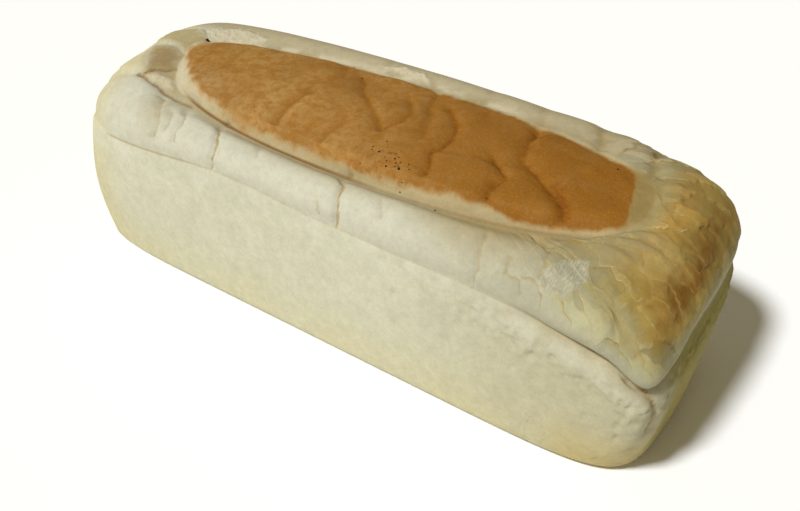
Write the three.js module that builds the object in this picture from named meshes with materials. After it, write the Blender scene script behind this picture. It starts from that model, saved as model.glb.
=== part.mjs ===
// A white loaf baked in an open tin. Straight walls rise from a flat base to the line where the
// dough came over the rim, a rolled shoulder swells above that line, and a golden panel stands
// inside a crease round the top. One closed solid in millimetres, +Z up, its length along X,
// the lower shoulder towards -Y and the browned, slumped end towards +X.

import * as THREE from "three";
import { mergeVertices } from "three/addons/utils/BufferGeometryUtils.js";

// The tin that shaped the walls.
const RIM_LENGTH = 292;
const RIM_WIDTH = 106;
const RIM_HEIGHT = 72.5;
const WALL_LEAN = 0.03;
const BASE_EDGE_RADIUS = 7;
const LEFT_SQUARENESS = { base: 10, rim: 6.5, top: 6.5 };
const FAR_CORNER_SQUARENESS = { base: 6, rim: 6, top: 6 };
const NEAR_CORNER_SQUARENESS = { base: 8, rim: 24, top: 9 };
const LEFT_END_BOW = 3;
const RIGHT_END_BOW = { base: 5.5, rim: 2.5 };
const END_BOW_SPREAD = 6;
const RIGHT_END_TUCK = 2.2;

// Sizes that change along the loaf: at the left end, along the middle and at the right end.
const LEFT_STRETCH = { from: -60, to: -140 };
const RIGHT_STRETCH = { from: 70, to: 140 };
const WALL_BARREL = { left: 4, middle: 0.8, right: 1 };
const SHOULDER_BULGE = { left: -1, middle: 2.4, right: 1.4 };
const SHOULDER_FULLNESS = { left: 2.5, middle: 2.4, right: 2.2 };
const SHOULDER_ROUNDS_OFF = 0.45;
const TIN_LINE_DROP = { left: 4, middle: 0, right: 7 };

// The tin line, where the dough rose over the rim.
const TIN_LINE_DEPTH = 0.9;
const TIN_LINE_HALF_WIDTH = 4;
const RIM_SWELL = { x: -45, rise: 3.5, width: 35 };
const NEAR_CORNER = { x: 145, y: -51 };
const CORNER_DIP = { fall: 10, along: 11, across: 34 };
const CORNER_GROOVE = { depth: 2.6, width: 26 };
const CORNER_FOLD = { x: 147, y: -47, depth: 3.2, width: 6, low: 28, high: 48 };

// The crease oval round the panel.
const CREASE = { x: 3, y: -6.5, halfLength: 118, frontHalf: 32, backHalf: 33.5 };
const CREASE_SQUARENESS = { front: 2.4, back: 3, spine: 2.4 };
const CREASE_CORNER_CUT = { by: 9, y: -17, width: 12, from: -60, to: -100 };
const CREASE_HEIGHT = 92;
const CREASE_RISE_TO_BACK = 0.16;
const CREASE_RISE_TO_RIGHT = 0.015;
const CREASE_LEVELS_AT_LEFT = 0.75;
const CREASE_END_RISE = { left: 4.5, right: 1 };
const CREASE_DEPTH = 3;
const CREASE_DEPTH_AT_RIGHT = 1.4;
const CREASE_LIP = 0.145;

// The golden panel inside the crease.
const CROWN = { x: 30, y: -2, height: 101 };
const CROWN_FALL_LEFT = { reach: 135, fall: 4 };
const CROWN_FALL_RIGHT = { reach: 85, fall: 3 };
const CROWN_FALL_FRONT = { reach: 38, fall: 6.5 };
const CROWN_FALL_BACK = { reach: 29, fall: 2.5 };
const PANEL_SIDE = 0.15;
const PANEL_SIDE_AT_RIGHT = 0.34;
const PANEL_SLOPE = { from: 85, to: 115 };

// Creases across the panel: places along each one, and how deep it is.
const PANEL_WRINKLE_WIDTH = 4.5;
const PANEL_WRINKLES = [
  { depth: 1.2, path: [[-33, -27], [-34, -10]] },
  { depth: 0.9, path: [[-8, -31], [-7, -21]] },
  { depth: 0.9, path: [[-35, 3], [-36, 20]] },
  { depth: 1.3, path: [[-24, 17], [-2, -6], [9, -15]] },
  { depth: 1.3, path: [[7, 9], [14, -7], [10, -14]] },
  { depth: 1.0, path: [[17, 5], [12, 25]] },
  { depth: 1.8, path: [[24, 13], [36, -7], [41, -28]] },
  { depth: 2.2, path: [[60, -10], [68, -22], [69, -35]] },
  { depth: 2.6, path: [[64, 16], [68, -5], [84, -16], [95, -25], [96, -31]] },
];

// Cracks down the front shoulder, the fold that runs on past the panel, and dents along the back.
const SHOULDER_CRACK_WIDTH = 3;
const SHOULDER_CRACKS = [
  { x: -88, depth: 1.0 },
  { x: -77, depth: 0.8 },
  { x: -52, depth: 1.2 },
  { x: 12, depth: 1.2 },
  { x: 76, depth: 0.7 },
  { x: 98, depth: 0.8 },
];
const LEFT_FOLD = { depth: 2, width: 4, path: [[-95, -31], [-112, -29], [-136, -25]] };
const BACK_DENT_WIDTH = 8;
const BACK_DENT_PLACE = 29;
const BACK_DENT_REACH = 9;
const BACK_DENTS = [
  { x: 76, depth: 1.6 },
  { x: 104, depth: 1.8 },
];

// Folds that fan out over the browned end.
const END_FOLD_SPACING = 15;
const END_FOLD_DEPTH = 0.7;

// The soft unevenness of risen dough.
const LUMP_HEIGHT = 0.55;
const LUMP_LENGTH = 19;
const LUMP_PHASE = { along: 1.3, across: 0.4 };

// Fineness of the skin.
const LONG_SIDE_STEPS = 64;
const END_STEPS = 16;

const CRUST_COLOUR = "#d3caa8";
const CRUST_ROUGHNESS = 0.78;

const unit = (t) => Math.min(Math.max(t, 0), 1);
const ease = (t) => unit(t) ** 2 * (3 - 2 * unit(t));
const bell = (distance, width) => Math.exp(-((distance / width) ** 2));
const mix = (a, b, t) => a + (b - a) * t;

// A size blended from its left, middle and right values by the place along the loaf.
function alongLoaf(x, size) {
  const left = ease((x - LEFT_STRETCH.from) / (LEFT_STRETCH.to - LEFT_STRETCH.from));
  const right = ease((x - RIGHT_STRETCH.from) / (RIGHT_STRETCH.to - RIGHT_STRETCH.from));
  return size.middle + (size.left - size.middle) * left + (size.right - size.middle) * right;
}

// A point on the edge of the unit square, drawn onto a superellipse with half-axes of 1.
function ovalPoint(u, squareness) {
  const reach = (Math.abs(u.x) ** squareness + Math.abs(u.y) ** squareness) ** (1 / squareness);
  return { x: u.x / reach, y: u.y / reach };
}

// How square each corner of the tin is. Rise runs from 0 at the base to 1 at the rim and 2 above it.
function cornerSquareness(u, rise) {
  let corner = LEFT_SQUARENESS;
  if (u.x > 0) {
    corner = u.y > 0 ? FAR_CORNER_SQUARENESS : NEAR_CORNER_SQUARENESS;
  }
  return mix(mix(corner.base, corner.rim, unit(rise)), corner.top, unit(rise - 1));
}

// The tin's outline, drawn in all round by an inset. Its ends bow out towards their middles, and
// the right one tucks in near the base.
function tinOutline(u, inset, rise) {
  const p = ovalPoint(u, cornerSquareness(u, rise));
  const bow = p.x > 0 ? mix(RIGHT_END_BOW.base, RIGHT_END_BOW.rim, unit(rise)) : LEFT_END_BOW;
  const proud = Math.sign(p.x) * bow * Math.abs(p.x) ** END_BOW_SPREAD * (1 - p.y * p.y);
  const tuck = p.x > 0 ? RIGHT_END_TUCK * (1 - unit(rise)) ** 2 : 0;
  return { x: p.x * (RIM_LENGTH / 2 - inset - tuck) + proud, y: p.y * (RIM_WIDTH / 2 - inset) };
}

// The crease oval, drawn in by a share of its half-width: 0 is the crease, 1 the panel's spine. Its
// front corner at the left end is cut back.
function creaseOutline(u, share) {
  const squareness = u.y < 0 ? CREASE_SQUARENESS.front : CREASE_SQUARENESS.back;
  const p = ovalPoint(u, mix(squareness, CREASE_SQUARENESS.spine, share));
  const half = p.y < 0 ? CREASE.frontHalf : CREASE.backHalf;
  const x = CREASE.x + p.x * (CREASE.halfLength - share * CREASE.frontHalf);
  const y = CREASE.y + p.y * half * (1 - share);
  const cut = CREASE_CORNER_CUT;
  const atCorner = bell(y - cut.y, cut.width) * ease((x - cut.from) / (cut.to - cut.from));
  return { x: x + cut.by * atCorner * (1 - share), y };
}

// Height of the tin line. It dips at the browned end, and most at the near corner.
function tinLineHeight(x, y) {
  const swell = RIM_SWELL.rise * bell(x - RIM_SWELL.x, RIM_SWELL.width);
  const alongDip = bell(x - NEAR_CORNER.x, CORNER_DIP.along);
  const dip = CORNER_DIP.fall * alongDip * bell(y - NEAR_CORNER.y, CORNER_DIP.across);
  return RIM_HEIGHT + swell - alongLoaf(x, TIN_LINE_DROP) - dip;
}

// How deep the tin line is pressed in, which is most at the near corner.
function tinLineDepth(x, y) {
  const fromCorner = Math.hypot(x - NEAR_CORNER.x, y - NEAR_CORNER.y);
  return TIN_LINE_DEPTH + CORNER_GROOVE.depth * bell(fromCorner, CORNER_GROOVE.width);
}

// Height of the crease's bottom: low along the front, high along the back, more level at the left.
function creaseHeight(x, y) {
  const along = (x - CREASE.x) / CREASE.halfLength;
  const levelling = along > 0 ? 0 : CREASE_LEVELS_AT_LEFT * along ** 2;
  const tilt = CREASE_RISE_TO_BACK * (1 - levelling);
  const ends = (along > 0 ? CREASE_END_RISE.right : CREASE_END_RISE.left) * along ** 4;
  return CREASE_HEIGHT + tilt * (y - CREASE.y) + CREASE_RISE_TO_RIGHT * (x - CREASE.x) + ends;
}

// How far the shoulder stands over the crease's bottom. The crease fades at the right end.
function creaseDepth(x, y) {
  const right = ease((x - CREASE.x) / CREASE.halfLength);
  const front = ease(-(y - CREASE.y) / CREASE.frontHalf);
  return mix(CREASE_DEPTH, CREASE_DEPTH_AT_RIGHT, right * (1 - front));
}

// Height of the panel's crown, which falls away from its highest place on all sides.
function crownHeight(x, y) {
  const lengthways = x < CROWN.x ? CROWN_FALL_LEFT : CROWN_FALL_RIGHT;
  const across = y < CROWN.y ? CROWN_FALL_FRONT : CROWN_FALL_BACK;
  const fallAlong = lengthways.fall * ((x - CROWN.x) / lengthways.reach) ** 2;
  const fallAcross = across.fall * ((y - CROWN.y) / across.reach) ** 2;
  return CROWN.height - fallAlong - fallAcross;
}

// The stations below are rings round the loaf, from the middle of the base to the panel's spine.
function baseSpine(u) {
  return [u.x * (RIM_LENGTH - RIM_WIDTH) / 2, 0, 0];
}

function baseEdge(u, turn) {
  const lean = WALL_LEAN * RIM_HEIGHT;
  const p = tinOutline(u, lean + BASE_EDGE_RADIUS * (1 - Math.sin(turn)), 0);
  return [p.x, p.y, BASE_EDGE_RADIUS * (1 - Math.cos(turn))];
}

function wall(u, share) {
  const rim = tinOutline(u, 0, 1);
  const top = tinLineHeight(rim.x, rim.y);
  const z = mix(BASE_EDGE_RADIUS, top, share);
  const press = bell(top - z, TIN_LINE_HALF_WIDTH) * tinLineDepth(rim.x, rim.y);
  const barrel = alongLoaf(rim.x, WALL_BARREL) * Math.sin(Math.PI * share);
  const p = tinOutline(u, WALL_LEAN * (1 - share) * RIM_HEIGHT + press - barrel, share);
  return [p.x, p.y, z];
}

function shoulder(u, share) {
  const turn = share * Math.PI / 2;
  const rim = tinOutline(u, 0, 1);
  const crease = creaseOutline(u, 0);
  const fullness = alongLoaf(rim.x, SHOULDER_FULLNESS);
  const inward = 1 - Math.cos(turn) ** (2 / fullness);
  const upward = Math.sin(turn) ** (2 / fullness);
  const low = tinLineHeight(rim.x, rim.y);
  const lip = creaseDepth(crease.x, crease.y);
  const z = mix(low, creaseHeight(crease.x, crease.y) + lip, upward);
  const press = bell(z - low, TIN_LINE_HALF_WIDTH) * tinLineDepth(rim.x, rim.y);
  const bulge = alongLoaf(rim.x, SHOULDER_BULGE) * Math.sin(2 * turn) * (1 - share);
  const foot = tinOutline(u, press - bulge, 1 + unit(share / SHOULDER_ROUNDS_OFF));
  const dip = lip * bell(1 - share, CREASE_LIP);
  return [mix(foot.x, crease.x, inward), mix(foot.y, crease.y, inward), z - dip];
}

function panel(u, share) {
  const p = creaseOutline(u, share);
  const low = creaseHeight(p.x, p.y);
  const toRight = ease((p.x - PANEL_SLOPE.from) / (PANEL_SLOPE.to - PANEL_SLOPE.from));
  const side = mix(PANEL_SIDE, PANEL_SIDE_AT_RIGHT, toRight);
  const climb = Math.sin(unit(share / side) * Math.PI / 2);
  return [p.x, p.y, mix(low, crownHeight(p.x, p.y), climb)];
}

const BASE_TURNS = [0, 30, 60, 90];
const WALL_SHARES = [0.28, 0.55, 0.78, 0.92, 0.97, 1];
const SHOULDER_SHARES = [0.05, 0.12, 0.21, 0.31, 0.42, 0.53, 0.64, 0.75, 0.84, 0.92, 1];
const PANEL_SHARES = [0.025, 0.06, 0.1, 0.15, 0.22, 0.3, 0.39, 0.48, 0.58, 0.68, 0.78, 0.89, 1];

const stations = [
  baseSpine,
  ...BASE_TURNS.map((degrees) => (u) => baseEdge(u, THREE.MathUtils.degToRad(degrees))),
  ...WALL_SHARES.map((share) => (u) => wall(u, share)),
  ...SHOULDER_SHARES.map((share) => (u) => shoulder(u, share)),
  ...PANEL_SHARES.map((share) => (u) => panel(u, share)),
];

// Places round the unit square's edge, counter-clockwise seen from above.
function squareEdge() {
  const places = [];
  for (let i = 0; i < LONG_SIDE_STEPS; i++) {
    places.push({ x: -1 + 2 * i / LONG_SIDE_STEPS, y: -1 });
  }
  for (let i = 0; i < END_STEPS; i++) {
    places.push({ x: 1, y: -1 + 2 * i / END_STEPS });
  }
  return places.concat(places.map((p) => ({ x: -p.x, y: -p.y })));
}

// Two triangles for a four-sided patch, split across its shorter diagonal.
function patch(points, a, b, c, d) {
  const firstIsShorter = points[a].distanceTo(points[c]) < points[b].distanceTo(points[d]);
  return firstIsShorter ? [a, b, c, a, c, d] : [a, b, d, b, c, d];
}

// Rings joined by patches. The first and last ring fold flat onto their spines.
function skin() {
  const around = squareEdge();
  const count = around.length;
  const points = stations.flatMap((station) => around.map((u) => new THREE.Vector3(...station(u))));
  const index = [];
  for (let ring = 0; ring + 1 < stations.length; ring++) {
    for (let i = 0; i < count; i++) {
      const a = ring * count + i;
      const b = ring * count + (i + 1) % count;
      index.push(...patch(points, a, b, b + count, a + count));
    }
  }
  const geometry = new THREE.BufferGeometry().setFromPoints(points);
  geometry.setIndex(index);
  const merged = mergeVertices(geometry);
  merged.setIndex(wholeTriangles(merged.index.array));
  return merged;
}

// The triangles that still have three corners after the spines closed.
function wholeTriangles(index) {
  const kept = [];
  for (let i = 0; i < index.length; i += 3) {
    const [a, b, c] = index.slice(i, i + 3);
    if (a !== b && b !== c && c !== a) {
      kept.push(a, b, c);
    }
  }
  return kept;
}

function distanceToPath(x, y, path) {
  let nearest = Infinity;
  for (let i = 0; i + 1 < path.length; i++) {
    const [ax, ay] = path[i];
    const dx = path[i + 1][0] - ax;
    const dy = path[i + 1][1] - ay;
    const along = unit(((x - ax) * dx + (y - ay) * dy) / (dx * dx + dy * dy));
    nearest = Math.min(nearest, Math.hypot(x - ax - along * dx, y - ay - along * dy));
  }
  return nearest;
}

// Where a point is against the crease oval: under 1 inside it.
function creaseReach(x, y) {
  const inFront = y < CREASE.y;
  const half = inFront ? CREASE.frontHalf : CREASE.backHalf;
  const squareness = inFront ? CREASE_SQUARENESS.front : CREASE_SQUARENESS.back;
  const across = Math.abs((y - CREASE.y) / half) ** squareness;
  const along = Math.abs((x - CREASE.x) / CREASE.halfLength) ** squareness;
  return (across + along) ** (1 / squareness);
}

function panelRelief(p) {
  let height = 0;
  for (const wrinkle of PANEL_WRINKLES) {
    const distance = distanceToPath(p.x, p.y, wrinkle.path);
    height -= wrinkle.depth * bell(distance, PANEL_WRINKLE_WIDTH);
  }
  return height;
}

function shoulderRelief(p) {
  let height = 0;
  const outsideCrease = p.y < 0 ? ease((creaseReach(p.x, p.y) - 1) / CREASE_LIP) : 0;
  for (const crack of SHOULDER_CRACKS) {
    height -= crack.depth * bell(p.x - crack.x, SHOULDER_CRACK_WIDTH) * outsideCrease;
  }
  height -= LEFT_FOLD.depth * bell(distanceToPath(p.x, p.y, LEFT_FOLD.path), LEFT_FOLD.width);
  const innerBack = bell(p.y - BACK_DENT_PLACE, BACK_DENT_REACH);
  for (const dent of BACK_DENTS) {
    height -= dent.depth * bell(p.x - dent.x, BACK_DENT_WIDTH) * innerBack;
  }
  const endShare = ease((p.x - CREASE.x - CREASE.halfLength / 2) / (CREASE.halfLength / 2));
  const turn = Math.atan2(p.y - CREASE.y, p.x - CREASE.halfLength / 2);
  const folds = Math.abs(Math.sin(turn * RIM_WIDTH / END_FOLD_SPACING));
  return height - END_FOLD_DEPTH * endShare * (1 - folds);
}

function wallRelief(p) {
  const fromFold = Math.hypot(p.x - CORNER_FOLD.x, p.y - CORNER_FOLD.y);
  const reach = ease((p.z - CORNER_FOLD.low) / (CORNER_FOLD.high - CORNER_FOLD.low));
  return -CORNER_FOLD.depth * bell(fromFold, CORNER_FOLD.width) * reach;
}

// How far the skin stands in or out of the plain form. The base stays flat.
function relief(p) {
  const along = Math.sin(p.x / LUMP_LENGTH + LUMP_PHASE.along);
  const across = Math.sin((p.y + p.z) / LUMP_LENGTH + LUMP_PHASE.across);
  const lift = ease((p.z - BASE_EDGE_RADIUS) / RIM_HEIGHT);
  const overRim = ease((p.z - tinLineHeight(p.x, p.y)) / TIN_LINE_HALF_WIDTH);
  const inPanel = ease((1 - creaseReach(p.x, p.y)) / PANEL_SIDE);
  const crust = mix(wallRelief(p), shoulderRelief(p), overRim);
  return lift * (LUMP_HEIGHT * along * across + mix(crust, panelRelief(p), inPanel * overRim));
}

function addRelief(geometry) {
  geometry.computeVertexNormals();
  const { position, normal } = geometry.attributes;
  const p = new THREE.Vector3();
  const out = new THREE.Vector3();
  for (let i = 0; i < position.count; i++) {
    p.fromBufferAttribute(position, i);
    out.fromBufferAttribute(normal, i);
    p.addScaledVector(out, relief(p));
    position.setXYZ(i, p.x, p.y, p.z);
  }
}

// The loaf stands on its base, with the middle of its box over the origin.
function makeLoaf() {
  const geometry = skin();
  addRelief(geometry);
  geometry.computeBoundingBox();
  const middle = geometry.boundingBox.getCenter(new THREE.Vector3());
  geometry.translate(-middle.x, -middle.y, -geometry.boundingBox.min.z);
  geometry.computeVertexNormals();
  const crust = new THREE.MeshStandardMaterial({
    color: CRUST_COLOUR,
    roughness: CRUST_ROUGHNESS,
    metalness: 0,
  });
  const mesh = new THREE.Mesh(geometry, crust);
  mesh.name = "loaf";
  return mesh;
}

const tinLoaf = new THREE.Group();
tinLoaf.add(makeLoaf());

export default tinLoaf;
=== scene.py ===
# %% [markdown]
# # A white loaf baked in an open tin
# The real loaf is one lump of dough. A tin shaped its straight walls, the dough rose over the rim
# into rolled shoulders, and a panel of crust on top browned in the oven's heat. The solid loaf is
# loaded first as a frame. Every piece below stands in that frame, in metres, so nothing is fitted
# by eye afterwards.

# %% Load the solid loaf as the frame
import math
import random

import bpy
import numpy as np
from mathutils import Matrix, Vector, noise
from mathutils.bvhtree import BVHTree


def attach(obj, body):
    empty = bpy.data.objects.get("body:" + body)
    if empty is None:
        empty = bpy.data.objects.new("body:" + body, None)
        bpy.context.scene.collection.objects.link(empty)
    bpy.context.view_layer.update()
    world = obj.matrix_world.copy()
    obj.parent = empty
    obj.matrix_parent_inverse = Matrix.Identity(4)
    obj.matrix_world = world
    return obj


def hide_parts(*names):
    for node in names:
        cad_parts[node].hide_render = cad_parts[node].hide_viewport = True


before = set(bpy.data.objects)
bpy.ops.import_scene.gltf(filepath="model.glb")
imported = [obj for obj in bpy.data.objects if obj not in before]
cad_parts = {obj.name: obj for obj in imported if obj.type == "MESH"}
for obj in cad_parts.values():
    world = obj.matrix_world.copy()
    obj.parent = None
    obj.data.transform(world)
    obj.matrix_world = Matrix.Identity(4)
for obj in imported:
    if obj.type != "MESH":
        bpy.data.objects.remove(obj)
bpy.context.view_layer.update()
MM = 0.001

# %% [markdown]
# ## The form of the loaf
# The form follows a rule: rings run round the loaf, from the flat base up the walls, over the
# shoulders and in to the spine of the panel. It could be sculpted by hand, but a few named sizes
# and short formulas give the same form as the solid, only with finer rings. Lengths are in
# millimetres until the mesh is made. X runs along the loaf towards its browned end, and -Y is the
# long side that faces the viewer.

# %% Sizes of the tin and of the dough that rose over it
RIM_LENGTH = 292
RIM_WIDTH = 106
RIM_HEIGHT = 72.5
WALL_LEAN = 0.03
BASE_EDGE_RADIUS = 7
LEFT_CORNERS = {"base": 10, "rim": 6.5, "top": 6.5}
FAR_CORNER = {"base": 6, "rim": 6, "top": 6}
NEAR_CORNER = {"base": 8, "rim": 24, "top": 9}
END_BOW = {"left": 3, "right": 2.5, "right_base": 5.5, "spread": 6}
RIGHT_END_TUCK = 2.2
LEFT_STRETCH = (-60, -140)
RIGHT_STRETCH = (70, 140)
WALL_BARREL = {"left": 2.5, "middle": 0.8, "right": 1}
SHOULDER_BULGE = {"left": -1, "middle": 1.6, "right": 1.8}
SHOULDER_FULLNESS = {"left": 2.5, "middle": 2.4, "right": 2.2}
SHOULDER_ROUNDS_OFF = 0.45
TIN_LINE_DROP = {"left": 4, "middle": 0, "right": 7}
TIN_LINE_DEPTH = {"left": 0.25, "middle": 0.3, "right": 1.3}
TIN_LINE_HALF_WIDTH = 1.8
RIM_SWELL = {"x": -45, "rise": 3.5, "width": 35}
CORNER_PLACE = (145, -51)
CORNER_DIP = {"fall": 10, "along": 11, "across": 34}
CORNER_GROOVE = {"depth": 1.3, "width": 24}


def unit(t):
    return np.clip(t, 0, 1)


def ease(t):
    return unit(t) ** 2 * (3 - 2 * unit(t))


def ramp(value, none_at, full_at):
    """0 where the value is at none_at, 1 where it is at full_at, and a smooth change between."""
    return ease((value - none_at) / (full_at - none_at))


def bell(distance, width):
    return np.exp(-((distance / width) ** 2))


def mix(a, b, t):
    return a + (b - a) * t


def along_loaf(x, size):
    """A size blended from its left, middle and right values by the place along the loaf."""
    middle = size["middle"]
    to_left = (size["left"] - middle) * ramp(x, *LEFT_STRETCH)
    return middle + to_left + (size["right"] - middle) * ramp(x, *RIGHT_STRETCH)


print("tin rim:", RIM_LENGTH, "by", RIM_WIDTH, "mm, walls", RIM_HEIGHT, "mm high")

# %% Sizes of the crease and of the panel inside it
CREASE = {"x": 3, "y": -6.5, "half": 118, "front": 32, "back": 33.5}
CREASE_SQUARENESS = {"front": 2.4, "back": 3.0, "spine": 2.4}
CREASE_CORNER_CUT = {"by": 9, "y": -17, "width": 12, "start": -60, "end": -100}
CREASE_HEIGHT = 92
CREASE_RISE_TO_BACK = 0.16
CREASE_RISE_TO_RIGHT = 0.015
CREASE_LEVELS_AT_LEFT = 0.75
CREASE_END_RISE = {"left": 4.5, "right": 1.0}
CREASE_DEPTH = 3.0
CREASE_DEPTH_AT_RIGHT = 1.4
CREASE_LIP = 0.145
CROWN = {"x": 30, "y": -2, "height": 101}
CROWN_FALL = {"left": (135, 4), "right": (85, 3), "front": (38, 6.5), "back": (29, 2.5)}
PANEL_SIDE = 0.15
PANEL_SIDE_AT_RIGHT = 0.34
PANEL_SIDE_WIDENS = (85, 115)


def oval_point(ux, uy, squareness):
    """A point on the edge of the unit square, drawn onto a superellipse with half-axes of 1."""
    reach = (np.abs(ux) ** squareness + np.abs(uy) ** squareness) ** (1 / squareness)
    return ux / reach, uy / reach


def corner_squareness(ux, uy, rise):
    """Rise runs from 0 at the base to 1 at the rim and 2 above it."""
    def at(corner):
        return mix(mix(corner["base"], corner["rim"], unit(rise)), corner["top"], unit(rise - 1))
    return np.where(ux > 0, np.where(uy > 0, at(FAR_CORNER), at(NEAR_CORNER)), at(LEFT_CORNERS))


def tin_outline(ux, uy, inset, rise):
    """The tin's outline, drawn in by an inset. Its ends bow out, and the right one tucks in low down."""
    px, py = oval_point(ux, uy, corner_squareness(ux, uy, rise))
    right_bow = mix(END_BOW["right_base"], END_BOW["right"], unit(rise))
    bow = np.where(px > 0, right_bow, END_BOW["left"])
    proud = np.sign(px) * bow * np.abs(px) ** END_BOW["spread"] * (1 - py * py)
    tuck = np.where(px > 0, RIGHT_END_TUCK * (1 - unit(rise)) ** 2, 0)
    return px * (RIM_LENGTH / 2 - inset - tuck) + proud, py * (RIM_WIDTH / 2 - inset)


def crease_outline(ux, uy, share):
    """The crease oval, drawn in by a share of its half-width: 0 is the crease, 1 the spine."""
    squareness = np.where(uy < 0, CREASE_SQUARENESS["front"], CREASE_SQUARENESS["back"])
    px, py = oval_point(ux, uy, mix(squareness, CREASE_SQUARENESS["spine"], share))
    x = CREASE["x"] + px * (CREASE["half"] - share * CREASE["front"])
    half = np.where(py < 0, CREASE["front"], CREASE["back"])
    y = CREASE["y"] + py * half * (1 - share)
    cut = CREASE_CORNER_CUT
    at_corner = bell(y - cut["y"], cut["width"]) * ramp(x, cut["start"], cut["end"])
    return x + cut["by"] * at_corner * (1 - share), y


print("crease:", 2 * CREASE["half"], "mm long, crown", CROWN["height"], "mm high")

# %% Heights of the tin line, the crease and the panel's crown
def tin_line_height(x, y):
    """The tin line dips at the browned end, and most at the near corner."""
    swell = RIM_SWELL["rise"] * bell(x - RIM_SWELL["x"], RIM_SWELL["width"])
    along_dip = bell(x - CORNER_PLACE[0], CORNER_DIP["along"])
    dip = CORNER_DIP["fall"] * along_dip * bell(y - CORNER_PLACE[1], CORNER_DIP["across"])
    return RIM_HEIGHT + swell - along_loaf(x, TIN_LINE_DROP) - dip


def tin_line_depth(x, y):
    from_corner = np.hypot(x - CORNER_PLACE[0], y - CORNER_PLACE[1])
    return along_loaf(x, TIN_LINE_DEPTH) + CORNER_GROOVE["depth"] * bell(from_corner, CORNER_GROOVE["width"])


def crease_height(x, y):
    along = (x - CREASE["x"]) / CREASE["half"]
    levelling = np.where(along > 0, 0, CREASE_LEVELS_AT_LEFT * along ** 2)
    tilt = CREASE_RISE_TO_BACK * (1 - levelling)
    ends = np.where(along > 0, CREASE_END_RISE["right"], CREASE_END_RISE["left"]) * along ** 4
    return CREASE_HEIGHT + tilt * (y - CREASE["y"]) + CREASE_RISE_TO_RIGHT * (x - CREASE["x"]) + ends


def crease_depth(x, y):
    right = ease((x - CREASE["x"]) / CREASE["half"])
    front = ease(-(y - CREASE["y"]) / CREASE["front"])
    return mix(CREASE_DEPTH, CREASE_DEPTH_AT_RIGHT, right * (1 - front))


def crown_height(x, y):
    fall = 0
    for offset, low, high in (
        (x - CROWN["x"], "left", "right"),
        (y - CROWN["y"], "front", "back"),
    ):
        reach = np.where(offset < 0, CROWN_FALL[low][0], CROWN_FALL[high][0])
        drop = np.where(offset < 0, CROWN_FALL[low][1], CROWN_FALL[high][1])
        fall = fall + drop * (offset / reach) ** 2
    return CROWN["height"] - fall


print("tin line, middle of the front:", round(float(tin_line_height(0.0, -RIM_WIDTH / 2)), 1), "mm high")

# %% Rings from the base's spine to the panel's spine
def base_ring(ux, uy, share):
    edge_x, edge_y, _ = base_edge_ring(ux, uy, 0)
    spine = ux * (RIM_LENGTH - RIM_WIDTH) / 2
    return mix(spine, edge_x, share), edge_y * share, 0 * ux


def base_edge_ring(ux, uy, share):
    turn = share * math.pi / 2
    inset = WALL_LEAN * RIM_HEIGHT + BASE_EDGE_RADIUS * (1 - math.sin(turn))
    x, y = tin_outline(ux, uy, inset, 0)
    return x, y, 0 * x + BASE_EDGE_RADIUS * (1 - math.cos(turn))


def wall_ring(ux, uy, share):
    rim_x, rim_y = tin_outline(ux, uy, 0, 1)
    top = tin_line_height(rim_x, rim_y)
    z = mix(BASE_EDGE_RADIUS, top, share)
    press = np.exp(-(top - z) / TIN_LINE_HALF_WIDTH) * tin_line_depth(rim_x, rim_y)
    barrel = along_loaf(rim_x, WALL_BARREL) * math.sin(math.pi * share)
    x, y = tin_outline(ux, uy, WALL_LEAN * (1 - share) * RIM_HEIGHT + press - barrel, share)
    return x, y, z


def shoulder_ring(ux, uy, share):
    turn = share * math.pi / 2
    rim_x, rim_y = tin_outline(ux, uy, 0, 1)
    crease_x, crease_y = crease_outline(ux, uy, 0)
    fullness = along_loaf(rim_x, SHOULDER_FULLNESS)
    inward = 1 - max(math.cos(turn), 0) ** (2 / fullness)
    upward = math.sin(turn) ** (2 / fullness)
    low = tin_line_height(rim_x, rim_y)
    lip = crease_depth(crease_x, crease_y)
    z = mix(low, crease_height(crease_x, crease_y) + lip, upward)
    press = np.exp(-(z - low) / TIN_LINE_HALF_WIDTH) * tin_line_depth(rim_x, rim_y)
    bulge = along_loaf(rim_x, SHOULDER_BULGE) * math.sin(2 * turn) * (1 - share)
    foot_x, foot_y = tin_outline(ux, uy, press - bulge, 1 + unit(share / SHOULDER_ROUNDS_OFF))
    dip = lip * bell(1 - share, CREASE_LIP)
    return mix(foot_x, crease_x, inward), mix(foot_y, crease_y, inward), z - dip


def panel_ring(ux, uy, share):
    x, y = crease_outline(ux, uy, share)
    side = mix(PANEL_SIDE, PANEL_SIDE_AT_RIGHT, ramp(x, *PANEL_SIDE_WIDENS))
    climb = np.sin(unit(share / side) * math.pi / 2)
    return x, y, mix(crease_height(x, y), crown_height(x, y), climb)


front_middle = wall_ring(np.float64(0), np.float64(-1), 0.5)
print("half way up the front wall:", [round(float(v), 1) for v in front_middle], "mm")

# %% Stack the rings
LONG_SIDE_STEPS = 264
END_STEPS = 77
BASE, WALL, SHOULDER, PANEL = range(4)
RINGS = {"base": 4, "base_edge": 7, "wall": 44, "shoulder": 56, "panel_side": 9, "panel": 23}
CLOSER_AT_TIN_LINE = 1.5
CLOSER_AT_CREASE = 1.2
CLOSER_AT_RIGHT = 0.3


def closer_at_end(count, power):
    """Shares that rise to 1 and come closer together there."""
    return [1 - gap ** power for gap in np.linspace(1, 0, count + 1)[1:]]


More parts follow.
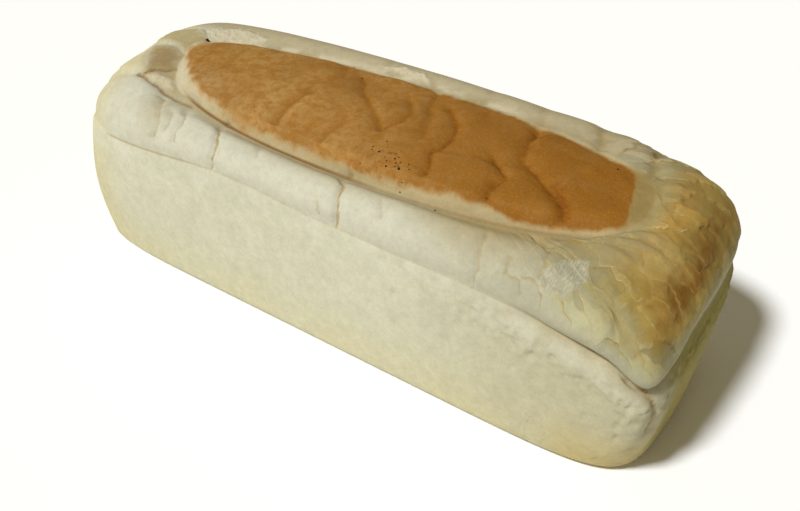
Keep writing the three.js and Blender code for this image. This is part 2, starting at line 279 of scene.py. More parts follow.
STATIONS = []
for kind, ring, shares in (
    (BASE, base_ring, np.linspace(0, 1, RINGS["base"], endpoint=False)),
    (BASE, base_edge_ring, np.linspace(0, 1, RINGS["base_edge"])),
    (WALL, wall_ring, closer_at_end(RINGS["wall"], CLOSER_AT_TIN_LINE)),
    (SHOULDER, shoulder_ring, closer_at_end(RINGS["shoulder"], CLOSER_AT_CREASE)),
    (PANEL, panel_ring, np.linspace(0, PANEL_SIDE, RINGS["panel_side"] + 1)[1:]),
    (PANEL, panel_ring, np.linspace(PANEL_SIDE, 1, RINGS["panel"] + 1)[1:]),
):
    STATIONS += [(kind, ring, share) for share in shares]

steps = np.linspace(0, 1, LONG_SIDE_STEPS, endpoint=False)
front_x = 2 * mix(steps, 1 - (1 - steps) ** 2, CLOSER_AT_RIGHT) - 1
back_x = np.concatenate([[1], front_x[:0:-1]])
right_y = np.linspace(-1, 1, END_STEPS, endpoint=False)
UX = np.concatenate([front_x, np.ones(END_STEPS), back_x, -np.ones(END_STEPS)])
UY = np.concatenate([-np.ones(LONG_SIDE_STEPS), right_y, np.ones(LONG_SIDE_STEPS), -right_y])
plain = np.array([np.stack(ring(UX, UY, share), axis=-1) for _, ring, share in STATIONS])
zone = np.repeat([[kind] for kind, _, _ in STATIONS], len(UX), axis=1)
x, y, z = np.moveaxis(plain, -1, 0)
print("plain form:", len(STATIONS), "rings of", len(UX), "points")

# %% [markdown]
# ## Where every point is on the loaf
# Folds, cracks and colours belong to places on the crust: so far over the tin line, so far past
# the crease, so far inside the golden top. These distances are worked out once for every point.
# They shape the relief below, and they are stored on the mesh for the crust's material, which
# then draws thin lines much finer than the mesh.

# %% Directions out of the crust
SHORTEST = 1e-9


def outward(points):
    """The direction out of the skin at every point of the rings."""
    around = np.roll(points, -1, axis=1) - np.roll(points, 1, axis=1)
    upward = np.gradient(points, axis=0)
    out = np.cross(around, upward)
    out[0], out[-1] = (0, 0, -1), (0, 0, 1)
    length = np.linalg.norm(out, axis=-1, keepdims=True)
    return np.where(length > SHORTEST, out / np.maximum(length, SHORTEST), (0, 0, 1))


out = outward(plain)
on_top = zone >= SHOULDER
over_tin = np.where(zone == BASE, -RIM_HEIGHT, z - tin_line_height(x, y))
print("points over the tin line:", int((over_tin > 0).sum()))

# %% Millimetres round the loaf and past the crease, like a UV map
rim_ring = np.stack(tin_outline(UX, UY, 0, 1), axis=-1)
steps_round = np.linalg.norm(np.roll(rim_ring, -1, axis=0) - rim_ring, axis=-1)
round_loaf = np.concatenate([[0], np.cumsum(steps_round)[:-1]])
left_end = np.arange(len(UX)) >= 2 * LONG_SIDE_STEPS + END_STEPS
round_loaf = np.where(left_end, round_loaf - steps_round.sum(), round_loaf)
steps_up = np.linalg.norm(np.diff(plain, axis=0), axis=-1)
climbed = np.concatenate([np.zeros((1, len(UX))), np.cumsum(steps_up, axis=0)])
crease_row = max(row for row, station in enumerate(STATIONS) if station[0] == SHOULDER)
past_crease = climbed[crease_row] - climbed
skin = np.stack([np.broadcast_to(round_loaf, x.shape), past_crease, 0 * past_crease], axis=-1)
print("round the rim:", round(steps_round.sum()), "mm")

# %% Name stretches of the crust by what is measured there
measures = {"x": x, "y": y, "z": z, "out_x": out[..., 0], "out_z": out[..., 2]}
measures |= {"over_tin": over_tin, "past_crease": past_crease}


def where(**stretches):
    """A share from 0 to 1 at every point. Each stretch gives where there is none and where there is all."""
    share = 1
    for name, (none_at, full_at) in stretches.items():
        share = share * ramp(measures[name], none_at, full_at)
    return share


print("measured at every point:", list(measures))

# %% How far inside the golden top each point is
# The gold starts some way up the panel's side: higher at the front, where the side stays cream.
GOLD_STARTS = {"front": 4.0, "back": 1.5}
GOLD_STARTS_HIGHER = {
    "front": [{"x": 54, "width": 16, "by": 2.2}, {"x": -86, "width": 26, "by": 2.0}],
    "back": [{"x": 85, "width": 20, "by": 1.5}],
}
GOLD_FRONT_DIP = {"x": -50, "width": 9, "by": 2.4}
GOLD_FRONT_FALL = 2.0
GOLD_TURNS_FRONT = 14
GOLD_RIGHT_END = {"x": 111.5, "slant": 0.3, "sharpness": 1.5, "rounding": 1.6}
GOLD_EDGE_SHARPER = 0.4
GOLD_EDGE_SOFTER = 0.35


def gold_start(side):
    start = GOLD_STARTS[side]
    for rise in GOLD_STARTS_HIGHER[side]:
        start = start + rise["by"] * bell(x - rise["x"], rise["width"])
    return start


starts_front = gold_start("front") - GOLD_FRONT_FALL * where(x=(66, 86))
starts_front -= GOLD_FRONT_DIP["by"] * bell(x - GOLD_FRONT_DIP["x"], GOLD_FRONT_DIP["width"])
at_front = where(y=(CREASE["y"], CREASE["y"] - GOLD_TURNS_FRONT))
up_side = -past_crease - mix(gold_start("back"), starts_front, at_front)
right_gap = GOLD_RIGHT_END["x"] - GOLD_RIGHT_END["slant"] * y - x
right_gap = GOLD_RIGHT_END["sharpness"] * right_gap
rounded = np.exp(-np.abs(up_side - right_gap) / GOLD_RIGHT_END["rounding"])
golden = np.minimum(up_side, right_gap) - GOLD_RIGHT_END["rounding"] * np.log1p(rounded)
golden *= 1 + GOLD_EDGE_SHARPER * where(x=(60, 80)) - GOLD_EDGE_SOFTER * where(x=(-20, -60))
print("golden points:", int((golden > 0).sum()))

# %% [markdown]
# ## Folds and cracks that can be pointed at
# Baking tears and folds a loaf in places of its own. A noise can't put them where they belong, so
# each is a short path over the crust, and its depth fades with the distance from that path. The
# paths are wobbled a little, because dough never folds in a straight line.

# %% Wobble, distance to a path and distance inside a patch
SEED_SHIFT = 19.7
WOBBLES = {9: 1.3, 3.6: 0.7}
WOBBLE_SEEDS = (1, 2, 3)
SKIN_DEPTH = 6
FAR_AWAY = 1e9


def dough_noise(size, seed):
    """Smooth noise from -1 to 1 over the plain form, with lumps of the given size in millimetres."""
    flat = plain.reshape(-1, 3) / size + SEED_SHIFT * seed
    return np.array([noise.noise(Vector(p)) for p in flat]).reshape(x.shape)


wobbled = plain
for size, reach in WOBBLES.items():
    wobbled = wobbled + reach * np.stack([dough_noise(size, seed) for seed in WOBBLE_SEEDS], -1)


def path_offset(path):
    """Millimetres across the skin from a path, positive on its left seen from outside."""
    nearest = np.full(x.shape, FAR_AWAY)
    side = np.zeros(x.shape)
    for start, end in zip(path[:-1], path[1:]):
        start, end = np.array(start, float), np.array(end, float)
        run = end - start
        along = unit(((wobbled - start) @ run) / (run @ run))
        gap = wobbled - start - along[..., None] * run
        depth = (gap * out).sum(-1)
        across = np.linalg.norm(gap - depth[..., None] * out, axis=-1)
        distance = np.hypot(across, np.maximum(np.abs(depth) - SKIN_DEPTH, 0))
        closer = distance < nearest
        nearest = np.where(closer, distance, nearest)
        turned = (np.cross(run, gap) * out).sum(-1)
        side = np.where(closer, np.where(turned < 0, -1, 1), side)
    return nearest * side


def inside_patch(corners):
    """Millimetres inside a patch of the top crust, seen from above, and negative outside it."""
    wx, wy = wobbled[..., 0], wobbled[..., 1]
    nearest = np.full(x.shape, FAR_AWAY)
    inside = np.zeros(x.shape, bool)
    for (ax, ay), (bx, by) in zip(corners, corners[1:] + corners[:1]):
        run_x, run_y = bx - ax, by - ay
        along = unit(((wx - ax) * run_x + (wy - ay) * run_y) / (run_x ** 2 + run_y ** 2))
        nearest = np.minimum(nearest, np.hypot(wx - mix(ax, bx, along), wy - mix(ay, by, along)))
        if ay != by:
            inside ^= ((ay > wy) != (by > wy)) & (wx < ax + (wy - ay) / run_y * run_x)
    return np.where(inside & on_top, nearest, -nearest)


print("paths wobble by up to", round(float(np.abs(wobbled - plain).max()), 1), "mm")

# %% The shape of a fold
FOLD_ROUNDING = 0.35


def fold(offset, width):
    """A valley with a narrow, rounded bottom: 1 along the path, fading over the width."""
    return np.exp(-(np.hypot(offset, FOLD_ROUNDING) - FOLD_ROUNDING) / width)


def uneven_fold(offset, widths):
    """A fold that fades over another width on its left than on its right."""
    return fold(offset, np.where(offset > 0, widths["left"], widths["right"]))


def top_path(*places):
    """A path over the panel, from places given as (x, y)."""
    return [(px, py, float(crown_height(np.float64(px), np.float64(py)))) for px, py in places]


print("a fold 1 mm wide keeps", round(float(fold(1, 1)), 2), "of its depth 1 mm away")

# %% Folds across the panel, as (depth, path from front to back)
PANEL_FOLDS = [
    (1.0, top_path((-33, -31), (-36, -18), (-33, -7))),
    (0.5, top_path((-64, -29), (-60, -18))),
    (0.4, top_path((-85, -16), (-80, -6))),
    (0.8, top_path((-9, -33), (-7, -20))),
    (0.7, top_path((-35, 3), (-31, 13), (-36, 24))),
    (1.0, top_path((9, -15), (-2, -6), (-14, 6), (-24, 18))),
    (1.0, top_path((9, -15), (14, -7), (14, 0), (7, 10))),
    (0.9, top_path((12, 27), (14, 15), (18, 6))),
    (0.8, top_path((27, -12), (24, -2), (19, 8))),
    (1.4, top_path((40, -30), (36, -18), (38, -8), (34, 3), (24, 14))),
    (0.6, top_path((38, -16), (49, -13), (61, -11))),
    (0.6, top_path((42, 13), (37, 27))),
    (1.7, top_path((69, -36), (66, -27), (68, -18), (59, -9))),
    (1.3, top_path((64, 16), (60, 27))),
    (2.0, top_path((97, -32), (97, -26), (89, -18), (78, -11), (68, -3), (63, 8), (64, 18))),
]
FOLD_DEPTH = 1.35
FOLD_BANKS = {"left": 4, "right": 1.8}
VALLEY_SHADE = {"left": 2.6, "right": 0.8}
DARKEST_VALLEY = 1.3
DARK_FOLD = top_path((98, -30), (94, -22), (86, -13))
DARK_FOLD_DEPTH = 1.0
DARK_FOLD_WIDTH = 3
PUFFS = {"height": 1.2, "size": 20, "seed": 4}
RIPPLES = {"height": 0.25, "size": 8, "seed": 5}


def rolling(hills):
    """Soft hills and hollows all over the crust."""
    return hills["height"] * dough_noise(hills["size"], hills["seed"])


# The fold valleys are also darkened, wider on their left bank away from the lamp: painted shade.
valley = np.zeros(x.shape)
panel_relief = rolling(PUFFS) + rolling(RIPPLES)
for depth, path in PANEL_FOLDS:
    offset = path_offset(path)
    panel_relief -= FOLD_DEPTH * depth * uneven_fold(offset, FOLD_BANKS)
    valley = np.maximum(valley, uneven_fold(offset, VALLEY_SHADE) * unit(depth / DARKEST_VALLEY))
# The major fold is painted dark brown along its path: painted shade.
deep_fold_shade = fold(path_offset(DARK_FOLD), DARK_FOLD_WIDTH)
panel_relief -= DARK_FOLD_DEPTH * deep_fold_shade
in_panel = where(past_crease=(0, -6))
print("panel folds:", len(PANEL_FOLDS), "deepest", round(float(-panel_relief.min()), 1), "mm")

# %% Cracks and dents down the front shoulder, as (depth, width, darkness, path)
SHOULDER_CRACKS = [
    (1.5, 1.9, 0.4, [(-95, -36, 92), (-91, -43, 91), (-88, -49, 86), (-88, -52, 80)]),
    (1.4, 1.6, 0.4, [(-84, -42, 91), (-82, -48, 87), (-83, -50, 84)]),
    (1.6, 1.6, 0.45, [(-79, -38, 91), (-75, -46, 89), (-76, -52, 81)]),
    (1.6, 1.0, 0.95, [(-58, -39, 90), (-55, -44, 90), (-52, -50, 85), (-52, -51, 82), (-53, -52, 76)]),
    (0.6, 1.2, 0.3, [(-33, -41, 90), (-31, -48, 87)]),
    (0.7, 0.9, 0.4, [(4, -53, 83), (5, -53, 76)]),
    (1.9, 1.0, 0.9, [(10, -41, 90), (12, -45, 90), (12, -50, 86), (14, -52, 81), (13, -53, 73)]),
    (0.5, 0.8, 0.25, [(30, -45, 90), (33, -51, 85)]),
    (0.8, 0.8, 0.35, [(75, -43, 91), (77, -52, 80), (75, -52, 72)]),
    (0.6, 0.8, 0.3, [(87, -47, 89), (87, -52, 82)]),
    (0.8, 0.8, 0.4, [(97, -36, 91), (99, -44, 89), (100, -48, 85)]),
]
CRACK_VALLEY = 0.22
CRACK_VALLEY_WIDTH = 4
NOT_NEAR = 9.0

crack = np.full(x.shape, NOT_NEAR)
crack_strength = np.zeros(x.shape)
shoulder_relief = np.zeros(x.shape)
for depth, width, darkness, path in SHOULDER_CRACKS:
    offset = np.abs(path_offset(path))
    crack_strength = np.where(offset < crack, darkness, crack_strength)
    crack = np.minimum(crack, offset)
    shoulder_relief -= depth * (fold(offset, width) + CRACK_VALLEY * fold(offset, CRACK_VALLEY_WIDTH))
print("shoulder cracks:", len(SHOULDER_CRACKS))

# %% Lifted edges where the thin crust of the browned end broke, as (height, path)
LIFTED_EDGES = [
    (0.7, [(123, -36, 89), (127, -37, 88), (130, -42, 85), (128, -45, 83), (126, -49, 82)]),
    (0.6, [(120, -40, 88), (123, -43, 86)]),
    (0.6, [(126, -49, 81), (127, -52, 77), (127, -53, 74)]),
    (0.6, [(131, -44, 83), (134, -48, 79), (132, -52, 76)]),
    (0.6, [(137, -29, 88), (135, -25, 90), (137, -20, 90)]),
    (0.6, [(138, -30, 87), (141, -35, 83), (143, -35, 82)]),
    (0.6, [(135, -48, 78), (138, -44, 80), (143, -37, 81)]),
    (0.5, [(108, -52, 82), (112, -53, 79)]),
    (0.5, [(136, -49, 78), (138, -50, 75)]),
    (0.9, [(112, -21, 94), (121, -17, 94), (127, -16, 94)]),
    (0.9, [(108, -26, 92), (120, -22, 93), (130, -21, 92)]),
    (0.7, [(100, -31, 91), (110, -29, 91), (119, -29, 91)]),
    (0.7, [(127, -13, 94), (131, -14, 93), (135, -15, 92)]),
    (0.6, [(116, 15, 98), (124, 15, 97), (128, 3, 96)]),
    (0.6, [(120, 4, 97), (124, -2, 96), (129, -6, 95)]),
]
EDGE_WIDTHS = {"left": 0.8, "right": 3.2}
EDGE_HEIGHT = 1.3

lifted = np.full(x.shape, NOT_NEAR)
for height, path in LIFTED_EDGES:
    offset = path_offset(path)
    lifted = np.minimum(lifted, np.abs(offset))
    shoulder_relief += EDGE_HEIGHT * height * uneven_fold(offset, EDGE_WIDTHS)
print("lifted edges:", len(LIFTED_EDGES))

# %% Crust flaps round the left end, as (step, corners), and the slopes beside the panel's ends
FLAPS = {
    "dark_flap": (
        0.495, [(-116, -27), (-114, -22), (-108, -18), (-109, -8), (-118, -3), (-131, -6), (-128, -14)]
    ),
    "tan_flap": (1.32, [(-133, -4), (-131, 8), (-121, 17), (-111, 10), (-111, -6), (-119, -2)]),
    "pale_flap": (0.55, [(-140, -14), (-130, -7), (-128, -15), (-117, -26), (-124, -27), (-138, -26)]),
}
FLAP_EDGE = 0.9
FLAP_SHADOWS = [
    [(-117, -27, 92), (-114, -22, 92), (-110, -20, 93), (-107, -16, 94)],
    [(-80, -34, 90), (-89, -33, 91), (-98, -32, 91), (-111, -29, 91), (-121, -28, 91)],
]
FLAP_SHADOW_DEPTH = 0.9
FLAP_SHADOW_WIDTH = 0.9
LEFT_FOLD = [
    (-88, -32, 91), (-98, -32, 91), (-111, -29, 91),
    (-121, -28, 91), (-130, -28, 90), (-138, -27, 86),
]
LEFT_FOLD_DEPTH = 1.2
LEFT_FOLD_WIDTH = 2.0
LEFT_END_SINKS = 1.7
TRENCH = [
    (-90, -32), (-98, -32), (-111, -29), (-121, -28), (-120, -20),
    (-112, -14), (-107, -12), (-103, -18), (-98, -25),
]
# The olive tone laid on this slope, which faces away from the lamp, is painted shade.
RIGHT_SLOPE = [
    (101, 17), (111, 16), (118, 8), (121, -1), (120, -10),
    (115, -18), (108, -22), (108, -8), (104, 4),
]

patches = {"trench": inside_patch(TRENCH), "right_slope": inside_patch(RIGHT_SLOPE)}
shoulder_relief -= LEFT_FOLD_DEPTH * fold(path_offset(LEFT_FOLD), LEFT_FOLD_WIDTH)
shoulder_relief -= LEFT_END_SINKS * where(x=(-112, -137), y=(-25, -31))
for name, (step, corners) in FLAPS.items():
    patches[name] = inside_patch(corners)
    shoulder_relief += step * ease(patches[name] / FLAP_EDGE)
flap_shadow = np.full(x.shape, NOT_NEAR)
for path in FLAP_SHADOWS:
    flap_shadow = np.minimum(flap_shadow, np.abs(path_offset(path)))
shoulder_relief -= FLAP_SHADOW_DEPTH * fold(flap_shadow, FLAP_SHADOW_WIDTH)
print("flaps:", len(FLAPS))

# %% Dents along the back, as (depth, path), with painted shade in them, and a brown patch of painted shade at a hollow at the left
BACK_DENTS = [
    (1.7, [(83, 40, 92), (84, 35, 97), (88, 24, 98)]),
    (1.9, [(107, 39, 92), (108, 33, 95), (113, 18, 98)]),
    (0.7, [(30, 38, 96), (33, 29, 98)]),
    (0.6, [(-22, 38, 96), (-19, 30, 98)]),
    (0.9, [(56, 38, 96), (60, 28, 98)]),
]
BACK_DENT_WIDTH = 2.6
DARKEST_DENT = 2
LEFT_HOLLOW = {"x": -92, "y": -42, "reach": 9, "brown": 0.45}

from_hollow = np.hypot(x - LEFT_HOLLOW["x"], y - LEFT_HOLLOW["y"])
# The tan laid in the dents, darker the deeper they are, is painted shade.
dent_shade = LEFT_HOLLOW["brown"] * bell(from_hollow, LEFT_HOLLOW["reach"]) * on_top
for depth, path in BACK_DENTS:
    shape = fold(path_offset(path), BACK_DENT_WIDTH)
    shoulder_relief -= depth * shape
    dent_shade = np.maximum(dent_shade, shape * unit(depth / DARKEST_DENT))
print("back dents:", len(BACK_DENTS))

# %% Torn places, where the thin crust came away and the crumb shows
TEARS = {
    "torn": [
        [(102, -51), (99.5, -46), (103, -41), (108, -38), (113, -37), (113, -42), (112.5, -47), (109, -51.5)],
    ],
    "pale_torn": [
        [(-121, 14), (-116, 24), (-106, 30), (-88, 29), (-86, 25), (-97, 21), (-106, 15), (-112, 11)],
        [(-24, 33), (-12, 37), (2, 33), (4, 29.5), (-11, 31)],
        [(-113, -27), (-113, -23), (-107, -23), (-101, -24), (-97, -29), (-103, -30)],
    ],
}
# The notch's darker tan is partly the crust's own colour and partly painted shade in the hollow.
NOTCH = [(85, -33), (91, -38), (98, -40), (97, -36), (92, -33)]
TEAR_DEPTH, TEAR_EDGE = 0.8, 1.2
TEAR_LIP, TEAR_LIP_WIDTH = 0.35, 1
PALE_TEAR_EDGE = 0.8
NOTCH_DEPTH, NOTCH_EDGE = 1.3, 1.5

for name, tears in TEARS.items():
    patches[name] = np.full(x.shape, -NOT_NEAR)
    for corners in tears:
        patches[name] = np.maximum(patches[name], inside_patch(corners))
patches["notch"] = inside_patch(NOTCH)
shoulder_relief += TEAR_LIP * bell(patches["torn"], TEAR_LIP_WIDTH)
shoulder_relief -= TEAR_DEPTH * ease(patches["torn"] / TEAR_EDGE)
shoulder_relief -= NOTCH_DEPTH * ease(patches["notch"] / NOTCH_EDGE)
shoulder_relief += TEAR_LIP * ease(patches["pale_torn"] / PALE_TEAR_EDGE)
print("torn points:", int((patches["torn"] > 0).sum()))

# %% The fold at the near corner, where the wall's dough was pinched against the tin
CORNER_FOLD = [(139, -50, 59), (143, -48, 55), (145, -46, 49), (146, -45, 41), (146, -44, 33)]
CORNER_FOLD_DEPTH = 0.9
CORNER_FOLD_WIDTH = 1.6
CORNER_LINE_WIDTH = 0.9
FRONT_LOBE, FRONT_LOBE_WIDTH = 1.0, 7
END_LOBE, END_LOBE_WIDTH = 1.6, 12
LOBES_START = 5
WALL_CREASE = [(-31, -53, 56), (-20, -53, 47), (-9, -53, 30)]
WALL_CREASE_DEPTH = 0.5
WALL_CREASE_WIDTH = 2.5

corner_offset = path_offset(CORNER_FOLD)
wall_relief = -CORNER_FOLD_DEPTH * fold(corner_offset, CORNER_FOLD_WIDTH)
front_lobe = FRONT_LOBE * bell(corner_offset, FRONT_LOBE_WIDTH)
end_lobe = END_LOBE * bell(corner_offset, END_LOBE_WIDTH)
wall_relief += np.where(corner_offset < 0, front_lobe, end_lobe) * ease(np.abs(corner_offset) / LOBES_START)
wall_relief -= WALL_CREASE_DEPTH * fold(path_offset(WALL_CREASE), WALL_CREASE_WIDTH)
print("corner fold reaches", round(float(-wall_relief.min()), 1), "mm")

# %% The lip that hangs over the tin line at the near corner
HOLLOW_UNDER_LIP = {"depth": 1.5, "over_tin": -1.5, "width": 4.5}
HANGING_LIP = {"height": 0.75, "over_tin": 5, "width": 4}

# The same stretch keeps a painted shadow under the lip in the crust's material.
overhang = where(x=(80, 115), y=(-20, -35))
hollow = bell(over_tin - HOLLOW_UNDER_LIP["over_tin"], HOLLOW_UNDER_LIP["width"])
hanging = bell(over_tin - HANGING_LIP["over_tin"], HANGING_LIP["width"])
wall_relief -= HOLLOW_UNDER_LIP["depth"] * overhang * hollow
shoulder_relief += HANGING_LIP["height"] * overhang * hanging
print("lip points:", int((overhang * hanging > 0.5).sum()))

# %% Add the relief to the plain form
LUMPS = {"height": 0.6, "size": 27, "seed": 7}
STANDS_FLAT = BASE_EDGE_RADIUS / 2
FULL_RELIEF = STANDS_FLAT + RIM_HEIGHT / 3

over_rim = where(over_tin=(-1, 2))
relief = rolling(LUMPS)
relief += mix(mix(wall_relief, shoulder_relief, over_rim), panel_relief, in_panel * over_rim)
formed = plain + (where(z=(STANDS_FLAT, FULL_RELIEF)) * relief)[..., None] * out
middle = (plain[..., 0].max() + plain[..., 0].min()) / 2
print("relief from", round(float(relief.min()), 1), "to", round(float(relief.max()), 1), "mm")

# %% [markdown]
# ## Where the crust is browned, lined or blistered, and where shade and light are painted
# The oven browned one end and the edge of the panel, and the tin left the walls pale. Some shares
# here are painted shade and light: the end wall and faces turned away from the lamp, the crease
# and the roll beside it, and the upward faces of the browned end. Each of these places is a share
# from 0 to 1, made from smooth stretches along, across and up the loaf. They could be painted by
# hand, but a stretch is easier to move, and it suits any number of points.

# %% The browned end, partly painted shade and painted light, and the painted shade of its end wall
BAKED_ALONG_SHARE = 0.6
BAKED_AT_BACK = 0.25
BARELY_BAKED = 0.12
UNBAKED = 0.6
SCORCH = {"x": 25, "y": -31, "flatness": 0.6, "reach": 8}

top_share = where(over_tin=(1, 23)) * on_top
# The browning is real, but its darkening on faces turned towards the end, away from the lamp, is painted
# shade.
end_facing_shade = where(out_x=(0.16, 0.88), x=(60, 100))
baked = mix(end_facing_shade, where(x=(85, 137)), BAKED_ALONG_SHARE) * top_share
baked *= mix(1, BAKED_AT_BACK, where(y=(12, 24), x=(125, 110)))
baked -= UNBAKED * (1 - ease(baked / BARELY_BAKED))
# Upward faces of the browned end get a lighter, warmer tone: painted light.
painted_top_light = where(out_z=(0.84, 0.96), x=(108, 134), past_crease=(0, 6))
crackle = where(x=(68, 112), over_tin=(3, 12), past_crease=(0, 4)) * on_top
# The end wall below the tin line faces away from the lamp; its darker olive tones are painted shade.
painted_end_shade = where(out_x=(0.3, 0.9), x=(110, 130), y=(-48, -18), over_tin=(0, -3))
from_scorch = np.hypot(x - SCORCH["x"], (y - SCORCH["y"]) / SCORCH["flatness"])
scorch = bell(from_scorch, SCORCH["reach"]) * on_top
print("browned points:", int((baked > 0).sum()))

# %% The crust beside the panel with painted shade on the roll, and the lines of the crease and the tin; the crease line is painted shadow
CREASE_SHADOW_AT_RIGHT = 0.4
TIN_LINE = {"all": 0.2, "left": 0.35, "right": 0.12, "end": 0.8}
SIDE_STARTS_EARLY = 3.5
ROLL_SHADE = {"left": 0.72, "right": 0.97, "back": 0.4}
ROLL_SHADE_REACH = {"left": 14, "right": 33, "back": 8}
BACK_STRIP = {"past_crease": 2, "width": 3}

# The dark line along the front crease is painted shadow, where the roll shades the crease.
crease_shadow_strength = where(y=(-16, -26), x=(-100, -75)) * where(x=(112, 92))
crease_shadow_strength *= mix(1, CREASE_SHADOW_AT_RIGHT, where(x=(-10, 30)))
tin_strength = TIN_LINE["all"] * where(x=(-128, -120)) + TIN_LINE["right"] * where(x=(60, 90))
tin_strength += TIN_LINE["left"] * where(x=(-45, -75)) * where(x=(-126, -118))
panel_side = past_crease - SIDE_STARTS_EARLY * where(x=(-84, -96), y=(-6, -14))
right_part = where(x=(32, 77))
# The tan band on the roll beside the crease, where the roll turns away from the lamp, is painted shade.
reach = mix(ROLL_SHADE_REACH["left"], ROLL_SHADE_REACH["right"], right_part)
roll_shade_front = mix(ROLL_SHADE["left"], ROLL_SHADE["right"], right_part) * ramp(past_crease, reach, 0)
roll_shade_back = ROLL_SHADE["back"] * where(past_crease=(ROLL_SHADE_REACH["back"], 0))
beside = mix(roll_shade_back, roll_shade_front, where(y=(-8, -24)))
back_strip = bell(past_crease - BACK_STRIP["past_crease"], BACK_STRIP["width"])
back_strip *= where(y=(8, 16), x=(-125, -100)) * where(x=(62, 37))
print("points beside the panel:", int((beside > 0.1).sum()))

# %% All that is stored on the mesh
BLISTERS_AT_LEFT = 0.45
CREASE_NEAR = 40

wall_masks = {
    "blister": where(over_tin=(-2, -7), z=(3, 13)) * mix(BLISTERS_AT_LEFT, 1, where(x=(-110, -20))),
    "crinkle": where(x=(30, 100), over_tin=(-3, -9)) * where(over_tin=(-30, -12)),
}
crust_masks = {
    **patches,
    "golden": golden,
    "past_crease": np.clip(past_crease, -CREASE_NEAR, CREASE_NEAR),
    "panel_side": panel_side,
    "crease_shadow_strength": crease_shadow_strength,
    "over_tin": over_tin,
    "tin_strength": unit(tin_strength),
    # The dark line in the tin line near the browned end is painted shadow under the overhanging dome.
    "tin_line_shadow": TIN_LINE["end"] * where(x=(108, 123)),
    "painted_end_shade": painted_end_shade,
    "crack": crack,
    "crack_strength": crack_strength,
    "lifted": lifted,
    # painted shade on the roll beside the crease
    "beside": beside,
    "back_strip": back_strip,
    "flap_shadow": flap_shadow,
    "valley": valley * in_panel,
    "deep_fold_shade": deep_fold_shade * in_panel,
    "dent_shade": dent_shade * over_rim,
    "baked": baked,
    "painted_top_light": painted_top_light,
    "back_side": where(y=(14, 30)) * top_share,
    "scorch": scorch,
    "crackle": crackle,
    "corner_fold": fold(corner_offset, CORNER_LINE_WIDTH) * (1 - over_rim),
    "overhang": overhang * (1 - over_rim),
}
print("stored:", len(wall_masks) + len(crust_masks))

# %% [markdown]
# ## From rings to a mesh
# The rings become one closed mesh. The first and last ring fold flat onto their spines, so their
# doubled points are merged. The distances and shares worked out above go along as attributes.


# %% Build the mesh
def ring_faces(rows, columns, merged):
    """Four-sided faces between the rings, or three-sided where a ring has closed up."""
    faces = []
    for row in range(rows - 1):
        for column in range(columns):
            after = (column + 1) % columns
            corners = [row * columns + column, row * columns + after]
            corners += [(row + 1) * columns + after, (row + 1) * columns + column]
            corners = list(dict.fromkeys(merged[corner] for corner in corners))
            if len(corners) > 2:
                faces.append(corners)
    return faces


SAME_PLACE_DIGITS = 4
rows, columns = x.shape
first_at = {}
merged = list(range(rows * columns))
for row in (0, rows - 1):
    for column in range(columns):
        place = (row, *np.round(plain[row, column], SAME_PLACE_DIGITS))
        merged[row * columns + column] = first_at.setdefault(place, row * columns + column)
kept = sorted(set(merged))
new_index = {old: new for new, old in enumerate(kept)}
faces = [[new_index[corner] for corner in face] for face in ring_faces(rows, columns, merged)]
points = (formed.reshape(-1, 3)[kept] - (middle, 0, 0)) * MM

form = bpy.data.meshes.new("loaf_form")
form.from_pydata(points.tolist(), [], faces)
for name, values in {**wall_masks, **crust_masks}.items():
    layer = form.attributes.new(name, "FLOAT", "POINT")
    layer.data.foreach_set("value", values.reshape(-1)[kept].astype(np.float32))
for name, values in (("rest", plain), ("skin", skin)):
    layer = form.attributes.new(name, "FLOAT_VECTOR", "POINT")
    layer.data.foreach_set("vector", values.reshape(-1, 3)[kept].astype(np.float32).ravel())
form.shade_smooth()
print("loaf mesh:", len(form.vertices), "points,", len(form.polygons), "faces")

# %% [markdown]
# ## Finish of the crust
# White bread crust is dried, browned dough: matt, slightly uneven in colour, cream where the tin
# kept the heat off and golden brown where the oven reached it. One material covers the loaf,
# because the tones run into each other. It reads the stored distances, breaks their edges up with
# noise in real millimetres, and lays the tones over each other from the palest to the darkest.

# %% One helper for nodes and one for colours
MATH, VECTOR_MATH, RANGE = "ShaderNodeMath", "ShaderNodeVectorMath", "ShaderNodeMapRange"
NOISE, CELLS, MIX = "ShaderNodeTexNoise", "ShaderNodeTexVoronoi", "ShaderNodeMix"
SPLIT, PRINCIPLED, OUTPUT = "ShaderNodeSeparateXYZ", "ShaderNodeBsdfPrincipled", "ShaderNodeOutputMaterial"


def to_linear(hex_colour):
    """An sRGB hex colour as the linear colour that a socket takes."""
    shares = [int(hex_colour[i:i + 2], 16) / 255 for i in (1, 3, 5)]
    linear = [s / 12.92 if s <= 0.04045 else ((s + 0.055) / 1.055) ** 2.4 for s in shares]
    return (*linear, 1.0)


def add(tree, kind, inputs=None, output=0, **settings):
    """Adds a node with its settings, fills its sockets with values or links, and gives an output."""
    node = tree.nodes.new(kind)
    for name, value in settings.items():
        setattr(node, name, value)
    for socket, value in (inputs or {}).items():
        if isinstance(value, bpy.types.NodeSocket):
            tree.links.new(value, node.inputs[socket])
        else:
            node.inputs[socket].default_value = value
    return node.outputs[output] if len(node.outputs) else node


